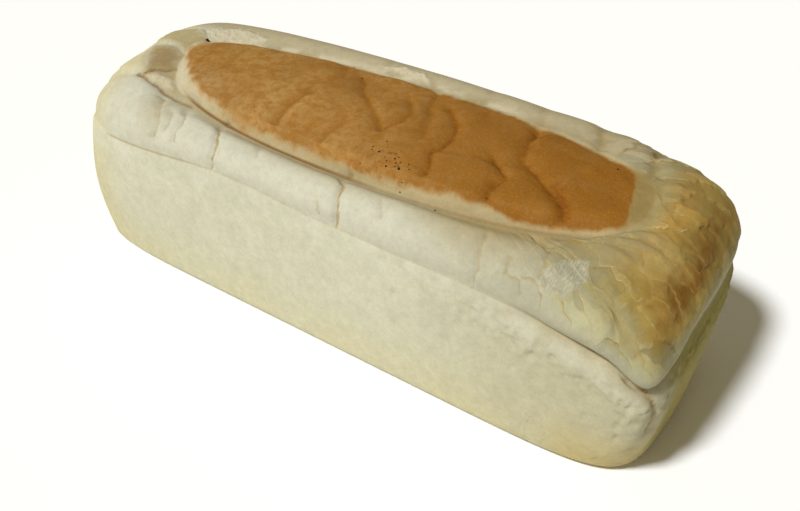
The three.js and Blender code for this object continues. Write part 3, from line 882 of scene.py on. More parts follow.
TONES = {
    "cream": "#c3c0ab",
    "cream_right": "#a7a287",
    "wall": "#c6c3a9",
    "wall_right": "#b5af91",
    "yellow": "#c4b98c",
    "patch": "#bdac76",
    # painted shade of the end wall, darker again higher up
    "end": "#9c9059",
    "end_shade_dark": "#8c8147",
    "flour": "#c9c7b4",
    # a tan used as painted shade under the lip, beside the crease, in the dents and in the notch
    "shade_tan": "#9e8d62",
    "back_tan": "#ac9f7d",
    "foot": "#a6a27c",
    "baked_light": "#a09466",
    "baked": "#9f8441",
    "baked_dark": "#724205",
    # painted light on the upward faces of the browned end
    "painted_top_light": "#a88340",
    "side": "#b5a47c",
    "side_left": "#c5bb9c",
    "gold": "#9d733c",
    "gold_light": "#b48c50",
    "gold_deep": "#8d5c1c",
    "gold_pale": "#bfa478",
    # painted shade in the folds
    "fold_shade": "#7c4612",
    "line": "#7a5526",
    "crack": "#9c8145",
    "crumb": "#aaa48a",
    "crumb_pale": "#d0ccb8",
    "torn_cream": "#cbc1a4",
    "pale_edge": "#c0b58c",
    "scorched": "#5d3410",
    "flap_dark": "#917849",
    "flap_tan": "#a99a6b",
    "flap_pale": "#c6bb94",
    "trench": "#ab9c73",
    "painted_slope_shade": "#8f7a45",
}
tones = {name: to_linear(colour) for name, colour in TONES.items()}
print("crust tones:", len(tones))

# %% Baked crust: start the material and read what the mesh has stored
crust = bpy.data.materials.new("baked_white_bread_crust")
crust.use_nodes = True
tree = crust.node_tree
tree.nodes.clear()
at = {}
for name in crust_masks:
    at[name] = add(tree, "ShaderNodeAttribute", output="Fac", attribute_name=name)
for name in ("rest", "skin"):
    at[name] = add(tree, "ShaderNodeAttribute", output="Vector", attribute_name=name)
for axis in "XYZ":
    at[axis] = add(tree, SPLIT, {0: at["rest"]}, output=axis)
print("read from the mesh:", len(at))

# %% Noises of real sizes, as (millimetres, detail), and stretched ones with a size for each axis
NOISES = {"mottle": (26, 4), "patches": (13, 2), "breakup": (5, 3), "speckle": (2.4, 3), "grain": (0.9, 2)}
STRETCHED_NOISES = {"streak": (1.2, 9, 9), "fibre": (0.5, 2.2, 2.2)}
STRETCHED_DETAIL = 2

for name, (size, detail) in NOISES.items():
    at[name] = add(tree, NOISE, {"Vector": at["rest"], "Scale": 1 / size, "Detail": detail})
for name, sizes in STRETCHED_NOISES.items():
    place = add(tree, VECTOR_MATH, {0: at["rest"], 1: [1 / size for size in sizes]}, operation="MULTIPLY")
    at[name] = add(tree, NOISE, {"Vector": place, "Scale": 1.0, "Detail": STRETCHED_DETAIL})
print("noises:", len(NOISES) + len(STRETCHED_NOISES))

# %% Edges that are broken up by noise, as (what is read, noise, how far the noise pushes it)
RAGGED = {
    "golden_ragged": ("golden", "streak", 2.2),
    "golden_worn": ("golden_ragged", "breakup", 6.0),
    "golden_soft": ("golden", "breakup", 5.0),
    "baked_ragged": ("baked", "mottle", 0.9),
    "baked_worn": ("baked_ragged", "breakup", 0.45),
    "torn_ragged": ("torn", "speckle", 1.6),
    "dark_flap_ragged": ("dark_flap", "breakup", 8.0),
    "tan_flap_ragged": ("tan_flap", "breakup", 4.0),
    "pale_flap_ragged": ("pale_flap", "breakup", 4.0),
    "flap_shadow_ragged": ("flap_shadow", "speckle", 1.5),
    "trench_ragged": ("trench", "breakup", 3.0),
    "pale_torn_ragged": ("pale_torn", "breakup", 7.0),
    "right_slope_ragged": ("right_slope", "breakup", 5.0),
}
NOISE_MIDDLE = 0.5

for name, (distance, noise_name, reach) in RAGGED.items():
    pushed = add(tree, MATH, {0: at[noise_name], 1: NOISE_MIDDLE}, operation="SUBTRACT")
    at[name] = add(tree, MATH, {0: pushed, 1: reach, 2: at[distance]}, operation="MULTIPLY_ADD")
for name in ("past_crease", "over_tin"):
    at[name + "_gap"] = add(tree, MATH, {0: at[name]}, operation="ABSOLUTE")
print("ragged edges:", len(RAGGED))

# %% Plates of thin crust that crackled at the browned end
PLATE_SIZE = (8, 12)
PLATE_WANDER = 9
PLATE_WANDER_DETAIL = 2
PLATE_WANDER_SHARE = (1.1, 1.0, 0)
PLATE_LEAN = (-0.8, 0.5, 0)


def crust_plates(tree, rest, skin):
    """Where a point is among the plates, the chance number of its plate, and its height on the lean."""
    in_plates = (1 / PLATE_SIZE[0], 1 / PLATE_SIZE[1], 0)
    place = add(tree, VECTOR_MATH, {0: skin, 1: in_plates}, operation="MULTIPLY")
    sizes = {"Scale": 1 / PLATE_WANDER, "Detail": PLATE_WANDER_DETAIL}
    wander = add(tree, NOISE, {"Vector": rest, **sizes}, output="Color")
    place = add(tree, VECTOR_MATH, {0: wander, 1: PLATE_WANDER_SHARE, 2: place}, operation="MULTIPLY_ADD")
    plate = add(tree, CELLS, {"Vector": place, "Scale": 1.0}, output="Color", voronoi_dimensions="2D")
    chance = add(tree, SPLIT, {0: plate}, output="X")
    plate_middle = plate.node.outputs["Position"]
    from_middle = add(tree, VECTOR_MATH, {0: place, 1: plate_middle}, operation="SUBTRACT")
    lean = add(tree, VECTOR_MATH, {0: from_middle, 1: PLATE_LEAN}, output="Value", operation="DOT_PRODUCT")
    return place, chance, lean


plate_place, at["plate_chance"], at["plate_lean"] = crust_plates(tree, at["rest"], at["skin"])
at["plate_gap"] = add(
    tree, CELLS, {"Vector": plate_place, "Scale": 1.0},
    voronoi_dimensions="2D", feature="DISTANCE_TO_EDGE",
)
print("plates of", PLATE_SIZE, "mm")

# %% Shares of each tone, as (what is read, none at, full at, strength)
SHARES = {
    "right": ("X", 20, 130, 1.0),
    "wall": ("over_tin", 2, -2, 1.0),
    "wall_right": ("X", 20, 130, 1.0),
    # painted shadow under the lip at the tin line
    "painted_shadow_under_lip": ("over_tin", -8, -0.5, 0.55),
    "low": ("Z", 40, 2, 0.8),
    "mottled_low": ("Z", 40, 2, 0.8),
    "left_edge": ("X", -112, -140, 0.7),
    "flour": ("over_tin", -18, -3, 0.5),
    "flour_patches": ("patches", 0.3, 0.6, 1.0),
    # painted shade, darker higher up the end wall
    "end_shade_top": ("Z", 30, 58, 0.9),
    "side_left": ("X", -58, -92, 1.0),
    "patch": ("X", 104, 122, 1.0),
    "back": ("back_side", 0, 1, 0.9),
    "foot": ("baked", -0.1, 0.2, 0.7),
    "baked_light": ("baked_worn", 0.05, 0.4, 0.9),
    "baked": ("baked_worn", 0.4, 0.8, 0.9),
    "baked_dark": ("baked_worn", 0.72, 1.2, 0.95),
    "painted_top_light": ("painted_top_light", 0, 1, 0.75),
    "flap_dark": ("dark_flap_ragged", -3.5, 5.0, 0.85),
    "flap_tan": ("tan_flap_ragged", -1.5, 2.5, 0.8),
    "flap_pale": ("pale_flap_ragged", -1.5, 2.5, 0.8),
    "flap_shadow": ("flap_shadow_ragged", 1.5, 0.1, 0.7),
    "trench": ("trench_ragged", -2.5, 3.0, 0.8),
    # painted shade on the right-hand slope
    "painted_slope_shade": ("right_slope_ragged", -2.5, 2.5, 0.85),
    "side": ("panel_side", 0.5, -1.5, 0.9),
    "golden": ("golden_worn", -2.0, 2.4, 1.0),
    "golden_soft": ("golden_soft", -2.8, 2.6, 1.0),
    "gold_light": ("mottle", 0.36, 0.66, 1.0),
    "gold_back": ("Y", -28, 24, 0.25),
    "gold_right": ("X", -25, 90, 0.95),
    "gold_left": ("X", -20, -95, 0.4),
    "gold_near": ("Y", -8, -26, 0.8),
    "gold_patches": ("patches", 0.46, 0.7, 0.35),
    "gold_streaks": ("streak", 0.46, 0.8, 0.3),
    "gold_dark_patches": ("breakup", 0.4, 0.68, 0.6),
    "gold_dark_specks": ("speckle", 0.4, 0.72, 0.55),
    "gold_pale_specks": ("grain", 0.45, 0.75, 0.14),
    "fold_shade": ("deep_fold_shade", 0.1, 1.0, 0.8),
    "valley_line": ("valley", 0.5, 1.0, 0.75),
    "fibre_pale": ("fibre", 0.42, 0.75, 0.6),
    # painted shadow along the front crease
    "painted_crease_shadow": ("past_crease_gap", 1.5, 0.1, 0.9),
    "crack_line": ("crack", 1.1, 0.2, 0.9),
    "tin_line": ("over_tin_gap", 1.0, 0.1, 0.9),
    # painted shadow in the tin line near the browned end
    "tin_line_shadow": ("over_tin_gap", 1.1, 0.1, 0.9),
    "torn": ("torn_ragged", -0.8, 0.8, 0.8),
    "pale_torn": ("pale_torn_ragged", -1.8, 2.4, 0.75),
    "notch": ("notch", 0, 1.5, 0.8),
    "back_strip": ("patches", 0.36, 0.56, 0.8),
    "lifted": ("lifted", 0.7, 0.1, 0.5),
    "corner_fold": ("corner_fold", 0.2, 1.0, 0.8),
    "scorch": ("speckle", 0.54, 0.7, 0.8),
    # painted shadow at the shaded side of each plate, and a painted highlight on its lifted side
    "plate_shadow": ("plate_gap", 0.14, 0, 0.65),
    "plate_edge_highlight": ("plate_gap", 0.06, 0, 1.0),
}
STRAIGHT_SHARES = {
    "lifted_side": ("plate_lean", 0.05, 0.3, 1.0),
    "shaded_side": ("plate_lean", -0.05, -0.3, 1.0),
    "plate_kept": ("patches", 0.46, 0.66, 0.75),
}
share = {name: at[name] for name in ("painted_end_shade", "beside", "dent_shade", "valley")}
for kind, table in (("SMOOTHSTEP", SHARES), ("LINEAR", STRAIGHT_SHARES)):
    for name, (source, none_at, full_at, strength) in table.items():
        stretch = {"From Min": none_at, "From Max": full_at, "To Max": strength}
        share[name] = add(tree, RANGE, {"Value": at[source], **stretch}, interpolation_type=kind)
print("shares:", len(share))

# %% Keep a share to where another share, or what is stored, allows it
KEPT_TO_SHARE = [
    ("plate_edge_highlight", "lifted_side"),
    ("plate_edge_highlight", "plate_kept"),
    ("plate_shadow", "shaded_side"),
    ("lifted", "plate_kept"),
    ("flour", "flour_patches"),
    ("flour", "wall"),
    ("wall_right", "wall"),
    ("patch", "low"),
    ("gold_near", "gold_left"),
    ("side_left", "side"),
    ("fibre_pale", "torn"),
]
KEPT_TO_STORED = [
    ("plate_edge_highlight", "crackle"),
    ("plate_shadow", "crackle"),
    ("end_shade_top", "painted_end_shade"),
    ("tin_line_shadow", "tin_line_shadow"),
    ("crack_line", "crack_strength"),
    ("painted_crease_shadow", "crease_shadow_strength"),
    ("tin_line", "tin_strength"),
    ("scorch", "scorch"),
    ("painted_shadow_under_lip", "overhang"),
    ("back_strip", "back_strip"),
    ("mottled_low", "mottle"),
]
for pairs, masks in ((KEPT_TO_SHARE, share), (KEPT_TO_STORED, at)):
    for name, mask in pairs:
        share[name] = add(tree, MATH, {0: share[name], 1: masks[mask]}, operation="MULTIPLY")
print("shares kept in place:", len(KEPT_TO_SHARE) + len(KEPT_TO_STORED))

# %% The gold of the top: lighter and darker patches, painted shade in the fold valleys and fine specks
GOLD_LAYERS = [
    ("gold_light", "gold_light"),
    ("gold_back", "gold_deep"),
    ("gold_right", "gold_deep"),
    ("gold_patches", "gold"),
    ("gold_streaks", "gold"),
    ("gold_left", "gold_light"),
    ("gold_near", "gold_pale"),
    # painted shade in the fold valleys
    ("valley", "gold_deep"),
    ("fold_shade", "fold_shade"),
    ("valley_line", "fold_shade"),
    ("gold_dark_patches", "gold_deep"),
    ("gold_dark_specks", "gold_deep"),
    ("gold_pale_specks", "gold_light"),
]


def lay_over(colour, layers):
    """The colour with each layer's tone mixed over it by the layer's share."""
    for name, tone in layers:
        colour = add(tree, MIX, {0: share[name], 6: colour, 7: tones[tone]}, output=2, data_type="RGBA")
    return colour


tones["gold_all"] = lay_over(tones["gold"], GOLD_LAYERS)
tones["gold_top"] = lay_over(tones["gold_light"], [("golden_soft", "gold_all")])
print("gold layers:", len(GOLD_LAYERS))

# %% Lay the tones over each other
LAYERS = [
    # Darker towards the browned end: partly browner crust, partly a painted falloff of the lamp's light.
    ("right", "cream_right"),
    ("wall", "wall"),
    ("wall_right", "wall_right"),
    ("mottled_low", "yellow"),
    ("left_edge", "yellow"),
    ("patch", "patch"),
    ("flour", "flour"),
    # painted shadow under the lip at the tin line
    ("painted_shadow_under_lip", "shade_tan"),
    # painted shade on the end wall
    ("painted_end_shade", "end"),
    ("end_shade_top", "end_shade_dark"),
    ("back", "back_tan"),
    ("foot", "foot"),
    ("baked_light", "baked_light"),
    ("baked", "baked"),
    # painted light on the upward faces of the browned end
    ("painted_top_light", "painted_top_light"),
    ("baked_dark", "baked_dark"),
    ("trench", "trench"),
    ("flap_pale", "flap_pale"),
    ("flap_tan", "flap_tan"),
    ("flap_dark", "flap_dark"),
    ("flap_shadow", "line"),
    # painted shade on the roll beside the crease
    ("beside", "shade_tan"),
    ("side", "side"),
    ("side_left", "side_left"),
    ("back_strip", "torn_cream"),
    # painted shade on the right-hand slope
    ("painted_slope_shade", "painted_slope_shade"),
    ("golden", "gold_top"),
    # painted shadow along the front crease
    ("painted_crease_shadow", "line"),
    ("tin_line", "crack"),
    # painted shadow in the tin line near the browned end
    ("tin_line_shadow", "line"),
    ("crack_line", "crack"),
    # painted shade in the dents
    ("dent_shade", "shade_tan"),
    ("corner_fold", "crack"),
    # partly painted shade in the notch
    ("notch", "shade_tan"),
    # painted shadow at each plate's shaded side, painted highlight on its lifted edge
    ("plate_shadow", "baked"),
    ("plate_edge_highlight", "pale_edge"),
    ("lifted", "pale_edge"),
    ("torn", "crumb"),
    ("fibre_pale", "crumb_pale"),
    ("pale_torn", "torn_cream"),
    ("scorch", "scorched"),
]
colour = lay_over(tones["cream"], LAYERS)
print("layers:", len(LAYERS))

# %% Shade the tones unevenly, as (what is read, darkest at, lightest at, by)
SHADES = [
    ("grain", 0.3, 0.7, 0.04),
    ("speckle", 0.3, 0.7, 0.04),
    ("breakup", 0.3, 0.7, 0.05),
    ("patches", 0.3, 0.7, 0.025),
    ("plate_shade", -0.5, 0.5, 0.18),
]
plate_shade = add(tree, MATH, {0: at["plate_chance"], 1: NOISE_MIDDLE}, operation="SUBTRACT")
at["plate_shade"] = add(tree, MATH, {0: plate_shade, 1: at["crackle"]}, operation="MULTIPLY")
for source, darkest_at, lightest_at, by in SHADES:
    stretch = {"From Min": darkest_at, "From Max": lightest_at, "To Min": 1 - by, "To Max": 1 + by}
    shade = add(tree, RANGE, {"Value": at[source], **stretch})
    colour = add(tree, VECTOR_MATH, {0: colour, "Scale": shade}, operation="SCALE")
print("shades:", len(SHADES))

# %% Fine relief, as (what is read, height in millimetres), and the shader
# Dull where the crust is cream, a little smoother on the gold: the eye sees dry bread, not plastic.
CRUST_ROUGHNESS = {"cream": 0.82, "gold": 0.6}
CRUST_IOR = 1.45
CRUST_SHINE = 0.07

torn_fibres = add(tree, MATH, {0: share["torn"], 1: at["fibre"]}, operation="MULTIPLY")
torn_crumbs = add(tree, MATH, {0: share["pale_torn"], 1: at["speckle"]}, operation="MULTIPLY")
FINE_RELIEF = [
    (at["grain"], 0.10),
    (at["speckle"], 0.14),
    (share["plate_edge_highlight"], 0.3),
    (torn_fibres, 0.7),
    (torn_crumbs, 1.2),
]
fine = 0.0
for source, height in FINE_RELIEF:
    fine = add(tree, MATH, {0: source, 1: height, 2: fine}, operation="MULTIPLY_ADD")
bump = add(tree, "ShaderNodeBump", {"Height": fine, "Distance": MM, "Strength": 1.0})
rough_range = {"To Min": CRUST_ROUGHNESS["cream"], "To Max": CRUST_ROUGHNESS["gold"]}
roughness = add(tree, RANGE, {"Value": share["golden"], **rough_range})
surface = {"Base Color": colour, "Roughness": roughness, "Normal": bump}
shader = add(tree, PRINCIPLED, {**surface, "IOR": CRUST_IOR, "Specular IOR Level": CRUST_SHINE})
add(tree, OUTPUT, {"Surface": shader})
print("crust material:", len(tree.nodes), "nodes")

# %% [markdown]
# ## Blisters, grain and plates by Geometry Nodes
# The walls are dimpled by gas bubbles that met the hot tin, and the thin crust of the browned end
# broke into plates. Both follow the surface and a rule, so Geometry Nodes push the points in and
# out along their normals. The sizes are inputs of the tree, in millimetres.

# %% A tree that pushes the crust in and out
RELIEF_SIZES = {
    "Bubble Size": 10.0,
    "Bubble Height": 0.6,
    "Pit Size": 6.0,
    "Pit Depth": 0.95,
    "Crinkle Size": 6.5,
    "Crinkle Height": 0.9,
    "Plate Lift": 0.25,
    "Plate Tilt": 0.75,
    "Top Grain Size": 3.0,
    "Top Grain Height": 0.5,
}


def new_tree(name, sizes, finish):
    """A Geometry Nodes tree with a named input for each size and one for the finish."""
    tree = bpy.data.node_groups.new(name, "GeometryNodeTree")
    tree.interface.new_socket("Geometry", in_out="OUTPUT", socket_type="NodeSocketGeometry")
    tree.interface.new_socket("Geometry", in_out="INPUT", socket_type="NodeSocketGeometry")
    for size in sizes:
        tree.interface.new_socket(size, in_out="INPUT", socket_type="NodeSocketFloat")
    tree.interface.new_socket(finish, in_out="INPUT", socket_type="NodeSocketMaterial")
    return tree, tree.nodes.new("NodeGroupInput").outputs


STORED = {"FLOAT": ("blister", "crinkle", "crackle", "golden"), "FLOAT_VECTOR": ("rest", "skin")}
relief_tree, sizes = new_tree("crust_relief", RELIEF_SIZES, "Crust")
tree = relief_tree
stored = {}
for kind, names in STORED.items():
    for name in names:
        stored[name] = add(tree, "GeometryNodeInputNamedAttribute", {"Name": name}, data_type=kind)
scales = {}
for name in ("Bubble Size", "Pit Size", "Crinkle Size", "Top Grain Size"):
    scales[name] = add(tree, MATH, {0: 1.0, 1: sizes[name]}, operation="DIVIDE")
print("relief sizes:", len(RELIEF_SIZES))

# %% Blisters and pits on the walls
UPRIGHT = (1, 1, 0.55)
BUBBLE_DETAIL = 3
PIT_EDGE = {"From Min": 0.34, "From Max": 0.05}
PIT_CHANCE = {"From Min": 0.45, "From Max": 0.9}

upright = add(tree, VECTOR_MATH, {0: stored["rest"], 1: UPRIGHT}, operation="MULTIPLY")
bubbles = add(tree, NOISE, {"Vector": upright, "Scale": scales["Bubble Size"], "Detail": BUBBLE_DETAIL})
bubbles = add(tree, MATH, {0: bubbles, 1: 2.0, 2: -1.0}, operation="MULTIPLY_ADD")
bubbles = add(tree, MATH, {0: bubbles, 1: sizes["Bubble Height"]}, operation="MULTIPLY")
pit_cells = add(tree, CELLS, {"Vector": upright, "Scale": scales["Pit Size"]})
pits = add(tree, RANGE, {"Value": pit_cells, **PIT_EDGE}, interpolation_type="SMOOTHSTEP")
chance = add(tree, SPLIT, {0: pit_cells.node.outputs["Color"]}, output="X")
chosen = add(tree, RANGE, {"Value": chance, **PIT_CHANCE})
pits = add(tree, MATH, {0: pits, 1: chosen}, operation="MULTIPLY")
pits = add(tree, MATH, {0: pits, 1: sizes["Pit Depth"]}, operation="MULTIPLY")
height = add(tree, MATH, {0: bubbles, 1: pits}, operation="SUBTRACT")
height = add(tree, MATH, {0: height, 1: stored["blister"]}, operation="MULTIPLY")
print("nodes with blisters and pits:", len(tree.nodes))

# %% Crinkles on the walls near the browned end
FINE_DETAIL = 2
CRINKLE_EDGE = {"From Min": 0.1, "From Max": 0.0}

crinkle_sizes = {"Scale": scales["Crinkle Size"], "Detail": FINE_DETAIL}
crinkles = add(tree, NOISE, {"Vector": stored["rest"], **crinkle_sizes})
crinkles = add(tree, MATH, {0: crinkles, 1: NOISE_MIDDLE}, operation="SUBTRACT")
crinkles = add(tree, MATH, {0: crinkles}, operation="ABSOLUTE")
crinkles = add(tree, RANGE, {"Value": crinkles, **CRINKLE_EDGE}, interpolation_type="SMOOTHSTEP")
crinkles = add(tree, MATH, {0: crinkles, 1: sizes["Crinkle Height"]}, operation="MULTIPLY")
height = add(tree, MATH, {0: crinkles, 1: stored["crinkle"], 2: height}, operation="MULTIPLY_ADD")
print("nodes with crinkles:", len(tree.nodes))

# %% Plates on the browned end, and a fine grain on the top
GRAIN_FADES_IN = {"From Min": -4.0, "From Max": 2.0}

_, plate_chance, lean = crust_plates(tree, stored["rest"], stored["skin"])
plates = add(tree, MATH, {0: plate_chance, 1: sizes["Plate Lift"]}, operation="MULTIPLY")
plates = add(tree, MATH, {0: lean, 1: sizes["Plate Tilt"], 2: plates}, operation="MULTIPLY_ADD")
height = add(tree, MATH, {0: plates, 1: stored["crackle"], 2: height}, operation="MULTIPLY_ADD")
grain_sizes = {"Scale": scales["Top Grain Size"], "Detail": FINE_DETAIL}
grain = add(tree, NOISE, {"Vector": stored["rest"], **grain_sizes})
grain = add(tree, MATH, {0: grain, 1: NOISE_MIDDLE}, operation="SUBTRACT")
grain = add(tree, MATH, {0: grain, 1: sizes["Top Grain Height"]}, operation="MULTIPLY")
on_panel = add(tree, RANGE, {"Value": stored["golden"], **GRAIN_FADES_IN})
height = add(tree, MATH, {0: grain, 1: on_panel, 2: height}, operation="MULTIPLY_ADD")
print("nodes with plates and grain:", len(tree.nodes))

# %% Push the points along their normals
normal = add(tree, "GeometryNodeInputNormal")
offset = add(tree, VECTOR_MATH, {0: normal, "Scale": height}, operation="SCALE")
offset = add(tree, VECTOR_MATH, {0: offset, "Scale": MM}, operation="SCALE")
pushed = add(tree, "GeometryNodeSetPosition", {"Geometry": sizes["Geometry"], "Offset": offset})
whole = add(tree, "GeometryNodeRealizeInstances", {"Geometry": pushed})
covered = add(tree, "GeometryNodeSetMaterial", {"Geometry": whole, "Material": sizes["Crust"]})
add(tree, "NodeGroupOutput", {"Geometry": covered})
print("relief tree:", len(tree.nodes), "nodes")


# %% Run a tree on a mesh and keep the result as a plain mesh
def grow(name, mesh, tree, values):
    """A new piece: what the tree makes of the mesh, turned into a plain mesh at the origin."""
    seed = bpy.data.objects.new(name + "_seed", mesh)
    bpy.context.scene.collection.objects.link(seed)
    modifier = seed.modifiers.new("nodes", "NODES")
    modifier.node_group = tree
    for item in tree.interface.items_tree:
        if item.item_type == "SOCKET" and item.in_out == "INPUT" and item.name in values:
            modifier[item.identifier] = values[item.name]
    depsgraph = bpy.context.evaluated_depsgraph_get()
    result = bpy.data.meshes.new_from_object(
        seed.evaluated_get(depsgraph), preserve_all_data_layers=True, depsgraph=depsgraph
    )
    seed.modifiers.remove(modifier)
    bpy.data.objects.remove(seed)
    piece = bpy.data.objects.new(name, result)
    result.name = name
    result.shade_smooth()
    bpy.context.scene.collection.objects.link(piece)
    return piece


loaf = grow("baked_loaf", form, relief_tree, {**RELIEF_SIZES, "Crust": crust})
print("baked loaf:", len(loaf.data.polygons), "faces")

# %% [markdown]
# ## Charred specks
# Crumbs that stuck to the hot top charred to small black lumps. They are one small shape many times
# over, so Geometry Nodes put the shape on a list of places. Each place is dropped onto the finished
# crust from above, and carries the size, the facing and the turn of its lump.

# %% Places for the specks, as (x, y, half width)
SPECKS = [
    (17.6, -29.1, 0.42), (29.9, -33.3, 0.55), (16.8, -22.5, 0.3), (25.5, -29.5, 0.4), (32.1, -29.6, 0.3),
    (33.6, -31.8, 0.3), (33.3, -37.5, 0.3), (-24.6, 17.6, 0.4), (-35.1, 25.8, 0.3), (50, -38.7, 0.35),
    (13.6, -27.5, 0.3), (14.2, -29.1, 0.25), (27.1, -31.2, 0.35), (24.5, -34.2, 0.4), (13.4, -35.9, 0.25),
    (33.1, -36, 0.25), (100, 11.6, 0.4), (-111.6, 9.7, 0.9), (26.4, -28.2, 0.28), (28.8, -30.2, 0.25),
    (21.5, -30.5, 0.25), (19.2, -25.4, 0.22), (27.8, -33.0, 0.3), (23.0, -31.8, 0.28),
]
TURN_SEED = 5
DROPPED_FROM = 1.0

rng = random.Random(TURN_SEED)
crust_faces = BVHTree.FromObject(loaf, bpy.context.evaluated_depsgraph_get())
points, facings = [], []
for px, py, _ in SPECKS:
    start = Vector(((px - middle) * MM, py * MM, DROPPED_FROM))
    point, facing, _, _ = crust_faces.ray_cast(start, Vector((0, 0, -1)))
    points.append(point)
    facings.extend(facing)
places = bpy.data.meshes.new("speck_places")
places.from_pydata(points, [], [])
half_widths = [half_width * MM for _, _, half_width in SPECKS]
turns = [rng.uniform(0, math.tau) for _ in SPECKS]
places.attributes.new("size", "FLOAT", "POINT").data.foreach_set("value", half_widths)
places.attributes.new("turn", "FLOAT", "POINT").data.foreach_set("value", turns)
places.attributes.new("facing", "FLOAT_VECTOR", "POINT").data.foreach_set("vector", facings)
print("specks:", len(SPECKS))

# %% A tree that stands an uneven ball on every place
SPECK_SIZES = {"Roughness": 0.9, "Tilt": 1.0}
BALL = {"Radius": 1.0, "Subdivisions": 3}
UNEVENNESS = {"Scale": 1.1, "Detail": 1.0}
TILT_CHANCE = {"Min": -1.0, "Max": 1.0, "Seed": 3}

speck_tree, sizes = new_tree("stand_lumps", SPECK_SIZES, "Finish")
tree = speck_tree
ball = add(tree, "GeometryNodeMeshIcoSphere", BALL)
uneven = add(tree, NOISE, UNEVENNESS, output="Color")
uneven = add(tree, VECTOR_MATH, {0: uneven, 1: [NOISE_MIDDLE] * 3}, operation="SUBTRACT")
uneven = add(tree, VECTOR_MATH, {0: uneven, "Scale": sizes["Roughness"]}, operation="SCALE")
lump = add(tree, "GeometryNodeSetPosition", {"Geometry": ball, "Offset": uneven})
stored = {}
for name, kind in (("size", "FLOAT"), ("turn", "FLOAT"), ("facing", "FLOAT_VECTOR")):
    stored[name] = add(tree, "GeometryNodeInputNamedAttribute", {"Name": name}, data_type=kind)
upright = add(tree, "FunctionNodeAlignRotationToVector", {"Vector": stored["facing"]}, axis="Z")
tilt = add(tree, "FunctionNodeRandomValue", TILT_CHANCE, output=1, data_type="FLOAT")
tilt = add(tree, MATH, {0: tilt, 1: sizes["Tilt"]}, operation="MULTIPLY")
spin = add(tree, "ShaderNodeCombineXYZ", {"X": tilt, "Y": 0.0, "Z": stored["turn"]})
rotation = {"Rotation": upright, "Rotate By": spin}
turned = add(tree, "FunctionNodeRotateRotation", rotation, rotation_space="LOCAL")
standing = {"Instance": lump, "Rotation": turned, "Scale": stored["size"]}
placed = add(tree, "GeometryNodeInstanceOnPoints", {"Points": sizes["Geometry"], **standing})
whole = add(tree, "GeometryNodeRealizeInstances", {"Geometry": placed})
covered = add(tree, "GeometryNodeSetMaterial", {"Geometry": whole, "Material": sizes["Finish"]})
add(tree, "NodeGroupOutput", {"Geometry": covered})
print("speck tree:", len(tree.nodes), "nodes")


# %% Charred crumb: nearly black and dull, so it reads as soot-like dots on the gold
CLOUD_DETAIL = 2


def two_tone_finish(name, tones, clouds, surface):
    """A finish whose two tones mix in soft clouds, given by what places them and by their scale."""
    material = bpy.data.materials.new(name)
    material.use_nodes = True
    tree = material.node_tree
    tree.nodes.clear()
    place = add(tree, "ShaderNodeTexCoord", output=clouds["place"])
    cloud = add(tree, NOISE, {"Vector": place, "Scale": clouds["scale"], "Detail": CLOUD_DETAIL})
    dark, light = (to_linear(tone) for tone in tones)
    colour = add(tree, MIX, {0: cloud, 6: dark, 7: light}, output=2, data_type="RGBA")
    shader = add(tree, PRINCIPLED, {"Base Color": colour, **surface})
    add(tree, OUTPUT, {"Surface": shader})
    return material


CHAR_TONES = ("#1c120a", "#3a2818")
CHAR_CLOUD_SIZE = 0.6 * MM
CHAR_CLOUDS = {"place": "Object", "scale": 1 / CHAR_CLOUD_SIZE}
CHAR_SURFACE = {"Roughness": 0.8, "Specular IOR Level": 0.2}
charred = two_tone_finish("charred_crumb", CHAR_TONES, CHAR_CLOUDS, CHAR_SURFACE)
specks = grow("charred_specks", places, speck_tree, {**SPECK_SIZES, "Finish": charred})
print(specks.name, len(specks.data.polygons), "faces")

# %% [markdown]
# ## The table, the light and the camera
# The loaf stands on a plain white surface. One broad lamp to the left of the viewer gives the soft
# shadow behind the loaf and past its browned end, and a pale sky fills the shade. The camera's
# place comes from fitting a pinhole camera to the loaf's outline, so it is given as it was fitted:
# its turn round the loaf, its height angle, its distance and the point that it looks at.

# %% White table: matt laminate, so the eye sees an even white ground with no shine
FLOOR_HALF = 40.0
TABLE_TONES = ("#fcfcfc", "#ffffff")
TABLE_CLOUDS = {"place": "Generated", "scale": 30.0}
TABLE_SURFACE = {"Roughness": 0.9, "Specular IOR Level": 0.1}

floor_mesh = bpy.data.meshes.new("white_table")
corners = [(sx * FLOOR_HALF, sy * FLOOR_HALF, 0) for sx, sy in ((-1, -1), (1, -1), (1, 1), (-1, 1))]
floor_mesh.from_pydata(corners, [], [(0, 1, 2, 3)])
floor_mesh.materials.append(two_tone_finish("matt_white_laminate", TABLE_TONES, TABLE_CLOUDS, TABLE_SURFACE))
floor = bpy.data.objects.new("white_table", floor_mesh)
bpy.context.scene.collection.objects.link(floor)
print("table:", 2 * FLOOR_HALF, "m square")

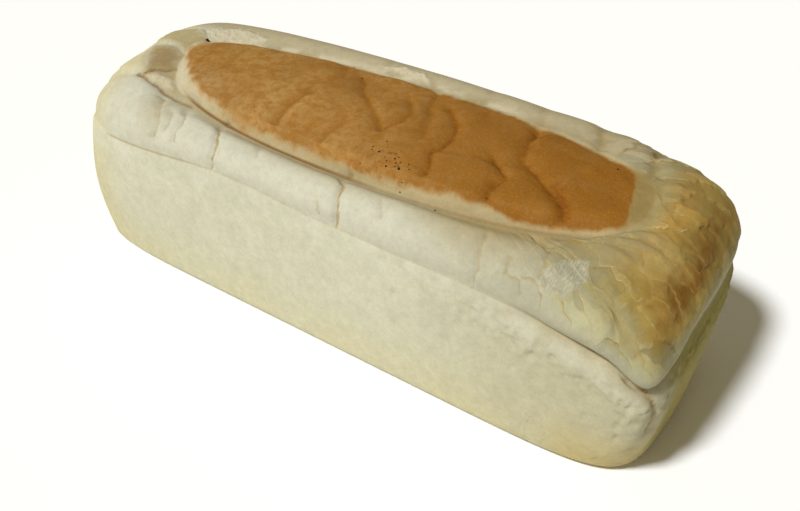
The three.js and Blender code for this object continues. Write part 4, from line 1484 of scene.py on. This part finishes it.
# %% Lamp and sky
LAMP_FROM = Vector((-0.24, -0.68, 1.0))
LAMP_SOFTNESS = math.radians(8.5)
LAMP_STRENGTH = 3.3
LAMP_TONE = "#fafcff"
SKY_STRENGTH = 0.21
SKY_TONE = "#fff0c4"

lamp_data = bpy.data.lights.new("broad_lamp", "SUN")
lamp_data.energy = LAMP_STRENGTH
lamp_data.angle = LAMP_SOFTNESS
lamp_data.color = to_linear(LAMP_TONE)[:3]
lamp = bpy.data.objects.new("broad_lamp", lamp_data)
lamp.rotation_euler = LAMP_FROM.to_track_quat("Z", "Y").to_euler()
bpy.context.scene.collection.objects.link(lamp)
sky = bpy.data.worlds.new("pale_sky")
sky.use_nodes = True
background = sky.node_tree.nodes["Background"]
background.inputs["Color"].default_value = to_linear(SKY_TONE)
background.inputs["Strength"].default_value = SKY_STRENGTH
bpy.context.scene.world = sky
bpy.context.scene.view_settings.view_transform = "Standard"
print("lamp", LAMP_STRENGTH, "sky", SKY_STRENGTH)

# %% Camera
AZIMUTH, ELEVATION, ROLL = (math.radians(d) for d in (33.74, 37.98, 0.61))
DISTANCE = 416.3
LOOKS_AT = Vector((8.6, 0, 23.4))
LENS = 39.98
SENSOR = 36

level = math.cos(ELEVATION)
back = Vector((math.sin(AZIMUTH) * level, -math.cos(AZIMUTH) * level, math.sin(ELEVATION)))
right = Vector((math.cos(AZIMUTH), math.sin(AZIMUTH), 0))
up = back.cross(right)
camera_right = right * math.cos(ROLL) + up * math.sin(ROLL)
camera_up = up * math.cos(ROLL) - right * math.sin(ROLL)
camera_data = bpy.data.cameras.new("camera")
camera_data.lens = LENS
camera_data.sensor_width = SENSOR
camera_data.sensor_fit = "HORIZONTAL"
camera = bpy.data.objects.new("camera", camera_data)
turn = Matrix((camera_right, camera_up, back)).transposed().to_4x4()
place = (LOOKS_AT + back * DISTANCE - Vector((middle, 0, 0))) * MM
camera.matrix_world = Matrix.Translation(place) @ turn
bpy.context.scene.collection.objects.link(camera)
bpy.context.scene.camera = camera
print("camera at", [round(v, 3) for v in place], "m")

# %% Join the pieces to the frame
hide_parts("loaf")
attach(loaf, "root")
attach(specks, "root")
print("joined to the frame:", loaf.name, specks.name)
